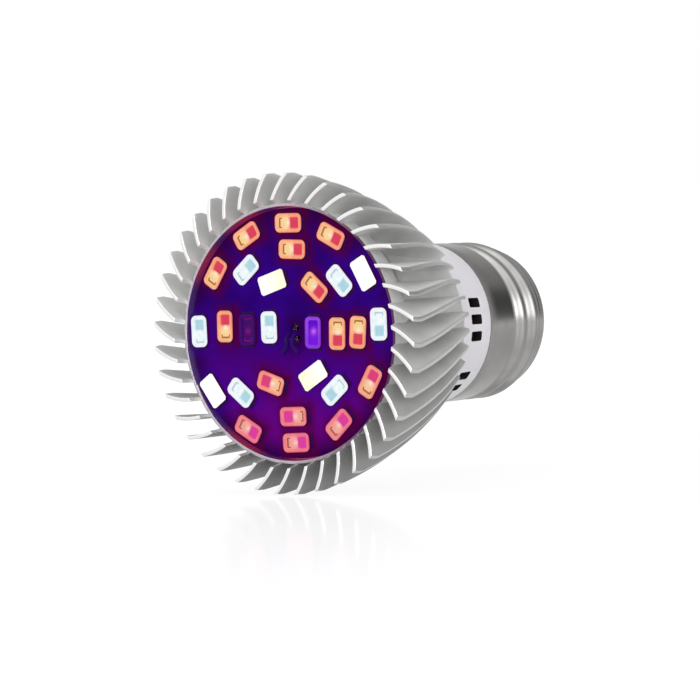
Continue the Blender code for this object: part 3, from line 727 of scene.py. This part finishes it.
# The red packages look more magenta low on the board
LOW_RED_START = -0.001
LOW_RED_SPREAD = 0.016
LOW_RED = ((214, 84, 106), (244, 132, 140), (234, 84, 146), (244, 160, 150), (224, 62, 160),
           (160, 88, 82), (252, 206, 204))
LIT, TAB = range(2)
LED_GRID = 0.00025
PLAIN_CORNER = 0.0003
TOP_EDGE = 0.00006
WELL_TAPER = (0.94, 0.92, 1)
CHIP_END_START = -0.0004
CHIP_END_SPREAD = 0.0012
SIDE_HEIGHT = LED_BODY.z / 2 - 0.0001
CHIP_PLACE = 0.0010
CHIP_HEIGHT = 0.0001
CHIP_LIFT = 0.00003
CHIP_FADE = 0.00022
CONTACT_INSET = 0.00032
CONTACT_LIFT = 0.00002
CONTACT_WIDTH = 0.00028
FAR_CONTACT_WIDTH = 0.00018
CONTACT_HEIGHT = 0.00006
CONTACT_ARM = (0.00050, 0.00020, CONTACT_HEIGHT)
SPOT_SIZE = (0.00030, 0.00030, 0.00008)
SPOT_PLACE = -0.00018
SPOT_LIGHT_PLACE = -0.0002
SPOT_FADE = 0.00050
TAB_SIZE = (0.00037, LED_BODY.y - 0.0007, 0.0003)
TAB_PLACE = (LED_BODY.x / 2 + 0.000165, -0.0002)


def led_light(led, colours, plain, point):
    """The light at a point of a package's housing: dark sides, a bright rim, and the lens well."""
    edge, rim, chip_end, far_end, chip, _, spot = colours
    outside = min(LED_BODY.x / 2 - abs(point.x), LED_BODY.y / 2 - abs(point.y))
    if point.z < SIDE_HEIGHT and outside < 0.9 * led.rim:
        return Vector(led.side)
    ahead = ease((point.x - CHIP_END_START) / CHIP_END_SPREAD)
    if plain:
        return far_end.lerp(chip_end, ease(point.x / LED_BODY.x + 0.5))
    if point.z > LED_BODY.z / 2 - led.well / 2 or outside < 0.9 * led.rim:
        return edge.lerp(rim.lerp(chip_end, 0.3 * ahead), ease(outside / (0.4 * led.rim)))
    clear = max(abs(point.x - CHIP_PLACE), abs(point.y)) - led.chip / 2
    light = far_end.lerp(chip_end, ahead)
    light = light.lerp(chip, 0.7 * math.exp(-(max(clear, 0) / CHIP_FADE) ** 2))
    near = math.hypot(point.x - SPOT_LIGHT_PLACE, point.y)
    return light.lerp(spot, 0.8 * math.exp(-(near / SPOT_FADE) ** 2))


def led_package(led, kind, colours):
    """A lit package: a rounded housing with a lens well, and the chip and contacts in it."""
    bm = bmesh.new()
    glow = bm.verts.layers.float_color.new(GLOW)
    chip, contact, spot = colours[4:]
    plain = kind in ("white", "warm_white")
    box(bm, LED_BODY, (0, 0, 0))
    upright = [e for e in bm.edges if abs(e.verts[0].co.z - e.verts[1].co.z) > LED_BODY.z / 2]
    rounded(bm, upright, PLAIN_CORNER if plain else led.corner, segments=1 if plain else 5)
    top = max(bm.faces, key=lambda face: face.calc_center_median().z)
    rounded(bm, top.edges[:], TOP_EDGE)
    top = max(bm.faces, key=lambda face: face.calc_area() if face.normal.z > 0.9 else 0)
    bmesh.ops.inset_region(bm, faces=[top], thickness=led.rim)
    floor = bmesh.ops.extrude_discrete_faces(bm, faces=[top])["faces"][0]
    bmesh.ops.translate(bm, vec=(0, 0, -led.well), verts=floor.verts[:])
    bmesh.ops.scale(bm, vec=WELL_TAPER, verts=floor.verts[:])
    counts = [round(LED_BODY[axis] / 2 / LED_GRID) for axis in (0, 1)]
    cuts = [(axis, cut * LED_GRID) for axis in (0, 1)
            for cut in range(1 - counts[axis], counts[axis])]
    for axis, along in cuts + [(2, SIDE_HEIGHT - 0.00002)]:
        place, across = Vector(), Vector()
        place[axis], across[axis] = along, 1
        bmesh.ops.bisect_plane(bm, geom=bm.faces[:] + bm.edges[:] + bm.verts[:], dist=1e-6,
                               plane_co=place, plane_no=across)
    for vert in bm.verts:
        vert[glow] = (*led_light(led, colours, plain, vert.co), 1)

    def add(colour, *block, **bevel):
        housing = set(bm.verts)
        box(bm, *block, LIT, **bevel)
        for vert in set(bm.verts) - housing:
            vert[glow] = (*colour, 1)

    ground = LED_BODY.z / 2 - led.well
    if not plain:
        if kind in ("red", "blue"):
            add(chip, (led.chip, led.chip, CHIP_HEIGHT), (CHIP_PLACE, 0, ground + CHIP_LIFT),
                bevel=0.00002)
        end = LED_BODY.x / 2 - led.rim - CONTACT_INSET
        low = ground + CONTACT_LIFT
        add(contact, (CONTACT_WIDTH, led.chip, CONTACT_HEIGHT), (-end, 0, low))
        for side in (-1, 1):
            add(contact, CONTACT_ARM, (-end + 0.00022, side * led.chip / 2, low))
        if kind == "infrared":
            add(contact, (FAR_CONTACT_WIDTH, led.chip, CONTACT_HEIGHT), (end, 0, low))
        add(spot, SPOT_SIZE, (SPOT_PLACE, 0, ground + CHIP_LIFT), bevel=0.00002)
    for side in (-1, 1):
        box(bm, TAB_SIZE, (side * TAB_PLACE[0], 0, TAB_PLACE[1]), TAB, bevel=0.00005)
    return bm


class LAMP_OT_leds(bpy.types.Operator):
    """Lit LED packages, one piece for each kind"""

    bl_idname = "lamp.leds"
    bl_label = "LEDs"

    def execute(self, context):
        led = context.scene.lamp_led
        spots = led_spots()
        out = Vector((0, -1, 0))
        package_finish = lit("led_package", shade(6, 5, 6), led.strength)
        tab_finish = tinted("led_tab", shade(14, 8, 20), shade(44, 0, 66))
        for kind in LED_LIGHT:
            bm = bmesh.new()
            bm.verts.layers.float_color.new(GLOW)
            nodes = []
            for node, spot_kind, centre, along, last in spots:
                if spot_kind != kind:
                    continue
                nodes.append(node)
                low = ease((LOW_RED_START - centre.z) / LOW_RED_SPREAD) if kind == "red" else 0.0
                colours = [Vector(shade(*high)).lerp(Vector(shade(*deep)), low)
                           for high, deep in zip(LED_LIGHT[kind], LOW_RED)]
                ahead = along if last else -along
                turn = Matrix((ahead, out.cross(ahead), out)).transposed().to_4x4()
                package = led_package(led, kind, colours)
                package.transform(Matrix.Translation(centre) @ turn)
                mesh = to_mesh("package", package)
                bm.from_mesh(mesh)
                bpy.data.meshes.remove(mesh)
            piece(kind + "_lit", bm, [package_finish, tab_finish], nodes, angle=40)
        return {"FINISHED"}


# The collar


class CollarSettings(bpy.types.PropertyGroup):
    slot_width: bpy.props.FloatProperty(
        name="Slot width", description="Width of a vent slot", default=0.0016, unit="LENGTH",
        precision=5)
    slot_length: bpy.props.FloatProperty(
        name="Slot length", description="Length of a vent slot", default=0.0033, unit="LENGTH",
        precision=5)
    edge: bpy.props.FloatProperty(
        name="Edge", description="Rounding of the collar's rim", default=0.00015, unit="LENGTH",
        precision=5)
    plastic: bpy.props.FloatVectorProperty(
        name="Plastic", description="Colour of the collar", subtype="COLOR",
        default=shade(212, 210, 215))
    # Painted shade: a dark plastic on the collar's inside and its slots' walls, where little light
    # gets in
    painted_inside_shade: bpy.props.FloatVectorProperty(
        name="Painted inside shade", description="Colour of the collar's inside and of its slots' walls",
        subtype="COLOR", default=shade(30, 30, 32))


SHELL_FRONT, SHELL_END, CREST_RADIUS = reach("screw_shell")
COLLAR_FRONT, SPIGOT_END, COLLAR_RADIUS = reach("collar")
COLLAR_END = SHELL_FRONT - FIT_GAP
COLLAR_LEDGE = 0.00015
COLLAR_REAR_RADIUS = CREST_RADIUS + COLLAR_LEDGE
COLLAR_WALL = 0.0015
COLLAR_SEGMENTS = 144
SPIGOT_RADIUS = 0.0115
SPIGOT_WALL = 0.0012
SLOT_GROUP_ANGLES = (3, 130, 183, 310)
SLOTS_PER_GROUP = 3
SLOT_PITCH = math.radians(11.6)
SLOT_SETBACK = 0.0046


class LAMP_OT_collar(bpy.types.Operator):
    """Plastic collar with vent slots, and the spigot inside the screw shell"""

    bl_idname = "lamp.collar"
    bl_label = "Collar"

    def execute(self, context):
        collar = context.scene.lamp_collar
        cutter = bmesh.new()
        for group in SLOT_GROUP_ANGLES:
            for slot in range(SLOTS_PER_GROUP):
                angle = math.radians(group) + (slot - (SLOTS_PER_GROUP - 1) / 2) * SLOT_PITCH
                corners = box(
                    cutter, (3 * COLLAR_WALL, collar.slot_length, collar.slot_width), (0, 0, 0))
                long_edges = [edge for edge in {e for c in corners for e in c.link_edges}
                              if abs(edge.verts[0].co.x - edge.verts[1].co.x) > COLLAR_WALL]
                corners = rounded(cutter, long_edges, collar.slot_width / 5, segments=4)
                place = around(COLLAR_REAR_RADIUS, angle, COLLAR_END - SLOT_SETBACK)
                turn = Matrix.Translation(place) @ Matrix.Rotation(-angle, 4, "Y")
                bmesh.ops.transform(cutter, matrix=turn, verts=corners)
        bmesh.ops.recalc_face_normals(cutter, faces=cutter.faces)
        slots = placed("slots", to_mesh("slots", cutter))

        bm = bmesh.new()
        spun(bm, [
            (COLLAR_RADIUS, COLLAR_FRONT), (COLLAR_RADIUS, SINK_LENGTH),
            (COLLAR_REAR_RADIUS, COLLAR_END), (SPIGOT_RADIUS, COLLAR_END),
            (SPIGOT_RADIUS, SPIGOT_END), (SPIGOT_RADIUS - SPIGOT_WALL, SPIGOT_END),
            (SPIGOT_RADIUS - SPIGOT_WALL, COLLAR_END),
            (COLLAR_REAR_RADIUS - COLLAR_WALL, COLLAR_END - COLLAR_WALL),
            (COLLAR_RADIUS - COLLAR_WALL, SINK_LENGTH), (COLLAR_RADIUS - COLLAR_WALL, COLLAR_FRONT),
        ], COLLAR_SEGMENTS)
        soften(bm, collar.edge, math.radians(60))
        finishes = [moulded("collar_plastic", collar.plastic),
                    moulded("collar_lining", collar.painted_inside_shade, 0.5, 0.7)]
        made = piece("vented_collar", bm, finishes, ["collar"])
        cut = made.modifiers.new("slots", "BOOLEAN")
        cut.operation, cut.solver, cut.object = "DIFFERENCE", "EXACT", slots
        result = made.evaluated_get(context.evaluated_depsgraph_get())
        whole = bpy.data.meshes.new_from_object(result)
        made.modifiers.clear()
        made.data = whole
        bpy.data.objects.remove(slots)
        # Painted shade: the faces inside the collar and the slots' walls take the dark plastic
        for face in whole.polygons:
            outward = Vector((face.center.x, 0, face.center.z)).normalized()
            inside = off_axis(face.center) < COLLAR_REAR_RADIUS - collar.edge
            if inside or face.normal.dot(outward) < 0.3 and abs(face.normal.y) < 0.9:
                face.material_index = 1
        smoothed(whole, 30)
        return {"FINISHED"}


# The screw cap


class CapSettings(bpy.types.PropertyGroup):
    pitch: bpy.props.FloatProperty(
        name="Pitch", description="Pitch of the rolled thread", default=0.00363, unit="LENGTH",
        precision=5)
    thread_depth: bpy.props.FloatProperty(
        name="Thread depth", description="Depth of the rolled thread", default=0.00095,
        unit="LENGTH", precision=5)
    lip: bpy.props.FloatProperty(
        name="Lip", description="Length of the smooth lip ahead of the thread", default=0.0063,
        unit="LENGTH", precision=5)
    clocking: bpy.props.FloatProperty(
        name="Clocking", description="Where the thread starts round the cap",
        default=math.radians(-48), subtype="ANGLE")
    nickel: bpy.props.FloatVectorProperty(
        name="Nickel", description="Colour of the shell", subtype="COLOR",
        default=shade(160, 159, 157))
    glass: bpy.props.FloatVectorProperty(
        name="Glass", description="Colour of the insulator", subtype="COLOR",
        default=shade(14, 14, 16))
    tin: bpy.props.FloatVectorProperty(
        name="Solder", description="Colour of the centre contact", subtype="COLOR",
        default=shade(190, 190, 194))


SHELL_METAL = 0.0004
SHELL_ROLL = 0.0022
SHELL_BORE = 0.0118
SHELL_MOUTH = 0.0100
SHELL_STEPS = 84
SHELL_SEGMENTS = 120
SHELL_EDGE = 0.0001
GLASS_FRONT, GLASS_END, GLASS_RADIUS = reach("insulator")
GLASS_NOSE_RADIUS = 0.0054
GLASS_SHELF = 0.0010
GLASS_SEGMENTS = 96
GLASS_EDGE = 0.00015
RIVET_FRONT, _, CONTACT_RADIUS = reach("centre_contact")
RIVET_RADIUS = 0.0009
CONTACT_SEGMENTS = 72


def thread_radius(cap, angle, depth):
    """The rolled thread: a right-hand wave that fades in after the lip and out at the end."""
    start, end = SHELL_FRONT + cap.lip, SHELL_END - SHELL_ROLL
    root = CREST_RADIUS - cap.thread_depth
    turns = (depth - start) / cap.pitch + (angle + cap.clocking) / (2 * math.pi)
    groove = cap.thread_depth * (0.5 - 0.5 * math.cos(2 * math.pi * turns))
    full = CREST_RADIUS - groove * ease((depth - start) / (cap.pitch / 2))
    return root + (full - root) * ease((end - depth) / (cap.pitch / 2))


class LAMP_OT_screw_cap(bpy.types.Operator):
    """Screw cap: a rolled shell, a black glass insulator and a soldered centre contact"""

    bl_idname = "lamp.screw_cap"
    bl_label = "Screw cap"

    def execute(self, context):
        cap = context.scene.lamp_cap
        start, end = SHELL_FRONT + cap.lip, SHELL_END - SHELL_ROLL
        mouth = SHELL_MOUTH + SHELL_METAL
        root = CREST_RADIUS - cap.thread_depth
        roll = [(mouth + (root - mouth) * math.cos(step * math.pi / 12),
                 end + (SHELL_ROLL - 0.00005) * math.sin(step * math.pi / 12))
                for step in range(1, 6)]
        profile = [(CREST_RADIUS, SHELL_FRONT), (CREST_RADIUS, start - cap.pitch),
                   *((CREST_RADIUS, start + (end - start) * step / SHELL_STEPS)
                     for step in range(SHELL_STEPS + 1)),
                   *roll, (mouth, SHELL_END), (SHELL_MOUTH, SHELL_END - SHELL_METAL),
                   (SHELL_BORE, end), (SHELL_BORE, SHELL_FRONT)]
        bm = bmesh.new()
        spun(bm, profile, SHELL_SEGMENTS)
        for vert in bm.verts:
            depth = vert.co.y + LAMP_LENGTH
            if off_axis(vert.co) > CREST_RADIUS - SHELL_METAL / 2 and depth > start - 1e-6:
                angle = math.atan2(vert.co.z, vert.co.x)
                vert.co = around(thread_radius(cap, angle, depth), angle, depth)
        soften(bm, SHELL_EDGE, math.radians(60))
        piece("rolled_shell", bm, [plated(cap.nickel)], ["screw_shell"])

        hole = RIVET_RADIUS + FIT_GAP
        throat = SHELL_MOUTH - FIT_GAP
        shelf = GLASS_FRONT + GLASS_SHELF
        nose = GLASS_END - SHELL_END
        glass = bmesh.new()
        spun(glass, [(hole, GLASS_FRONT), (GLASS_RADIUS, GLASS_FRONT), (GLASS_RADIUS, shelf),
                     (throat, SHELL_END - SHELL_METAL), (throat, SHELL_END),
                     (throat - 0.0005, SHELL_END + 0.13 * nose),
                     (throat - 0.0019, SHELL_END + 0.37 * nose),
                     (GLASS_NOSE_RADIUS + 0.0010, SHELL_END + 0.74 * nose),
                     (GLASS_NOSE_RADIUS, GLASS_END), (hole, GLASS_END)], GLASS_SEGMENTS)
        soften(glass, GLASS_EDGE, math.radians(45))
        piece("glass_insulator", glass, [black_glass(cap.glass)], ["insulator"])

        seat = GLASS_END + FIT_GAP
        tip = bmesh.new()
        spun(tip, [(0, RIVET_FRONT), (RIVET_RADIUS, RIVET_FRONT), (RIVET_RADIUS, seat),
                   (CONTACT_RADIUS, seat), (CONTACT_RADIUS, seat + 0.0004),
                   (CONTACT_RADIUS - 0.0002, seat + 0.0007), (CONTACT_RADIUS - 0.0006, LAMP_LENGTH),
                   (0, LAMP_LENGTH)], CONTACT_SEGMENTS, closed=False)
        piece("soldered_contact", tip, [solder(cap.tin)], ["centre_contact"])
        return {"FINISHED"}


# The driver and the wires


class DriverSettings(bpy.types.PropertyGroup):
    laminate: bpy.props.FloatVectorProperty(
        name="Laminate", description="Colour of the driver's board", subtype="COLOR",
        default=shade(186, 158, 96))
    sleeve: bpy.props.FloatVectorProperty(
        name="Sleeve", description="Colour of the can capacitor", subtype="COLOR",
        default=shade(34, 34, 48))
    tape: bpy.props.FloatVectorProperty(
        name="Tape", description="Colour of the winding's tape", subtype="COLOR",
        default=shade(228, 186, 64))


class LAMP_OT_driver(bpy.types.Operator):
    """Finishes for the driver inside the collar, and for the wires"""

    bl_idname = "lamp.driver"
    bl_label = "Driver and wires"

    def execute(self, context):
        driver = context.scene.lamp_driver
        chip = moulded("chip_epoxy", shade(36, 36, 38), 0.4, 0.6)
        finishes = {
            "driver_board": moulded("laminate", driver.laminate, 0.4, 0.6),
            "electrolytic_capacitor": moulded("shrink_sleeve", driver.sleeve, 0.2, 0.3),
            "film_capacitor": moulded("dipped_epoxy", shade(168, 88, 46), 0.2, 0.35),
            "transformer_core": moulded("ferrite", shade(52, 52, 54), 0.6, 0.75),
            "transformer_winding": moulded("winding_tape", driver.tape, 0.2, 0.35),
            "fuse_resistor": moulded("resistor_paint", shade(92, 128, 104), 0.4, 0.5),
            "bridge_rectifier": chip,
            "driver_chip": chip,
            "live_wire": moulded("brown_insulation", shade(110, 66, 40)),
            "neutral_wire": moulded("blue_insulation", shade(50, 84, 160)),
            "led_positive_wire": tinted("red_insulation", shade(14, 2, 8), shade(40, 0, 96)),
            "led_negative_wire": tinted("black_insulation", shade(6, 4, 10), shade(36, 0, 92)),
        }
        for node, material in finishes.items():
            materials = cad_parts[node].data.materials
            materials.clear()
            materials.append(material)
        return {"FINISHED"}


# The stage


class StageSettings(bpy.types.PropertyGroup):
    lens: bpy.props.FloatProperty(
        name="Lens", description="Focal length of the camera", default=0.16596, unit="CAMERA")
    polish: bpy.props.FloatProperty(
        name="Polish", description="How much the floor mirrors", default=0.22, min=0, max=1,
        subtype="FACTOR")
    bounce: bpy.props.FloatProperty(
        name="Bounce", description="How strongly the floor lights the lamp from below", default=0.8,
        min=0)
    backdrop: bpy.props.FloatVectorProperty(
        name="Backdrop", description="Colour of the floor and of what lies behind the lamp",
        subtype="COLOR", default=(1.0, 1.0, 1.0))


CAMERA_PLACE = Vector((0.29495, -0.40178 - LAMP_LENGTH, 0.01262))
CAMERA_RIGHT = Vector((0.8187, 0.5730, -0.0366))
CAMERA_UP = Vector((0.0122, 0.0464, 0.9989))
FLOOR_DROP = 0.0002
FLOOR_SIZE = 30.0
FLOOR_WHITE = 0.10
MIRROR_ROUGHNESS = 0.10
MIRROR_FADE = (0.10, 0.30)
# Each card is a direction and the studio's tone there, by how nearly a ray runs towards the card:
# a dark one behind, a dim one above it, a soft one overhead, a bright one to the right, and a
# bright hoop round the lamp
CARDS = (
    ((0.50, 0.84, 0.20), ((0.0, 1.0), (0.78, 1.0), (0.95, 0.66), (0.982, 0.2), (1.0, 0.1))),
    ((0.0, 0.80, 0.60), ((0.0, 1.0), (0.55, 1.0), (0.92, 0.6), (1.0, 0.5))),
    ((0.0, -0.30, 1.0), ((0.0, 1.0), (0.60, 1.0), (0.90, 1.15), (1.0, 1.25))),
    ((1.0, -0.05, 0.05), ((0.0, 1.0), (0.88, 0.86), (0.96, 2.0), (1.0, 2.4))),
    ((0.0, -1.0, 0.0), ((0.0, 1.0), (0.05, 1.9), (0.22, 1.9), (0.42, 1.0))),
)


def soft_light(name, place, aim, size, power):
    """A square soft box that looks at a point."""
    light = bpy.data.lights.new(name, "AREA")
    light.size, light.energy = size, power
    made = placed(name, light)
    made.location = place
    made.rotation_euler = (Vector(aim) - Vector(place)).to_track_quat("-Z", "Y").to_euler()


def floor_finish(stage):
    """A white sweep that glows evenly, with a faint mirror image near the lamp."""
    made = Finish("white_sweep")
    made.tree.nodes.remove(made.shader)
    matte = made.node("ShaderNodeBsdfDiffuse", Color=toned(stage.backdrop, FLOOR_WHITE))
    seen = made.node("ShaderNodeLightPath").outputs["Is Camera Ray"]
    glow = made.node("ShaderNodeEmission", Color=stage.backdrop,
                     Strength=made.span(seen, stage.bounce, 1.0))
    mirror = made.node("ShaderNodeBsdfGlossy", Roughness=MIRROR_ROUGHNESS)
    away = made.join("ShaderNodeVectorMath", made.place, operation="LENGTH").outputs["Value"]
    polish = made.span(away, stage.polish, 0.0, *MIRROR_FADE)
    white = made.join("ShaderNodeAddShader", matte.outputs[0], glow.outputs[0])
    both = made.join("ShaderNodeMixShader", polish, white.outputs[0], mirror.outputs[0])
    made.set(made.tree.nodes["Material Output"], {"Surface": both.outputs[0]})
    return made.material


def studio_world(stage):
    """An even studio whose cards dim it or light it up, and which is white to the camera."""
    world = bpy.data.worlds.new("studio")
    world.use_nodes = True
    made = Nodes(world.node_tree)
    ray = made.node("ShaderNodeTexCoord").outputs["Generated"]
    tones = []
    for direction, stops in CARDS:
        facing = made.join("ShaderNodeVectorMath", ray, Vector(direction).normalized(),
                           operation="DOT_PRODUCT")
        ramp = made.join("ShaderNodeValToRGB", facing.outputs["Value"])
        elements = ramp.color_ramp.elements
        for place, _ in stops[1:-1]:
            elements.new(place)
        for element, (place, level) in zip(elements, stops):
            element.position, element.color = place, (level, level, level, 1.0)
        tones.append(ramp.outputs[0])
    tone = tones[0]
    for other in tones[1:]:
        tone = made.join("ShaderNodeVectorMath", tone, other, operation="MULTIPLY").outputs[0]
    back = made.tree.nodes["Background"]
    made.set(back, {"Color": tone})
    white = made.node("ShaderNodeBackground", Color=stage.backdrop)
    seen = made.node("ShaderNodeLightPath").outputs["Is Camera Ray"]
    both = made.join("ShaderNodeMixShader", seen, back.outputs[0], white.outputs[0])
    made.set(made.tree.nodes["World Output"], {"Surface": both.outputs[0]})
    bpy.context.scene.world = world


class LAMP_OT_stage(bpy.types.Operator):
    """Pale floor, soft studio light and the camera"""

    bl_idname = "lamp.stage"
    bl_label = "Stage"

    def execute(self, context):
        stage = context.scene.lamp_stage
        context.scene.view_settings.view_transform = "Standard"
        camera = bpy.data.cameras.new("camera")
        camera.sensor_width = 36.0
        camera.lens = stage.lens * 1000
        camera.clip_start, camera.clip_end = 0.01, 100.0
        made = placed("camera", camera)
        back = CAMERA_RIGHT.cross(CAMERA_UP).normalized()
        right = CAMERA_UP.cross(back).normalized()
        turn = Matrix((right, back.cross(right), back)).transposed().to_4x4()
        made.matrix_world = Matrix.Translation(CAMERA_PLACE) @ turn
        context.scene.camera = made

        bm = bmesh.new()
        bmesh.ops.create_grid(bm, x_segments=1, y_segments=1, size=FLOOR_SIZE,
                              matrix=Matrix.Translation((0, 0, CAD_BOX[0][2] - FLOOR_DROP)))
        mesh = to_mesh("floor", bm)
        mesh.materials.append(floor_finish(stage))
        floor = placed("floor", mesh)

        studio_world(stage)
        soft_light("front_box", place=(0.20, -0.60, 0.10), aim=(0, -0.04, 0), size=0.20, power=2.0)
        return {"FINISHED"}


# The add-on


class LAMP_PT_panel(bpy.types.Panel):
    """The lamp's settings and its pieces, in the order that they are built"""

    bl_idname = "LAMP_PT_panel"
    bl_label = "Grow lamp"
    bl_space_type = "VIEW_3D"
    bl_region_type = "UI"
    bl_category = "Grow lamp"

    def draw(self, context):
        for name, settings, operator in GROUPS:
            column = self.layout.box()
            for prop in settings.__annotations__:
                column.prop(getattr(context.scene, name), prop)
            column.operator(operator.bl_idname)


# Each group's name in the scene, its settings and its operator, in the order that they are built
GROUPS = (
    ("lamp_heat_sink", HeatSinkSettings, LAMP_OT_heat_sink),
    ("lamp_board", BoardSettings, LAMP_OT_led_board),
    ("lamp_led", LedSettings, LAMP_OT_leds),
    ("lamp_collar", CollarSettings, LAMP_OT_collar),
    ("lamp_cap", CapSettings, LAMP_OT_screw_cap),
    ("lamp_driver", DriverSettings, LAMP_OT_driver),
    ("lamp_stage", StageSettings, LAMP_OT_stage),
)


def register():
    for name, settings, operator in GROUPS:
        bpy.utils.register_class(settings)
        bpy.utils.register_class(operator)
        setattr(bpy.types.Scene, name, bpy.props.PointerProperty(type=settings))
    bpy.utils.register_class(LAMP_PT_panel)


def unregister():
    bpy.utils.unregister_class(LAMP_PT_panel)
    for name, settings, operator in reversed(GROUPS):
        delattr(bpy.types.Scene, name)
        bpy.utils.unregister_class(operator)
        bpy.utils.unregister_class(settings)


def main():
    register()
    bpy.ops.lamp.heat_sink()
    bpy.ops.lamp.led_board()
    bpy.ops.lamp.leds()
    bpy.ops.lamp.collar()
    bpy.ops.lamp.screw_cap()
    bpy.ops.lamp.driver()
    bpy.ops.lamp.stage()


if __name__ == "__main__":
    main()
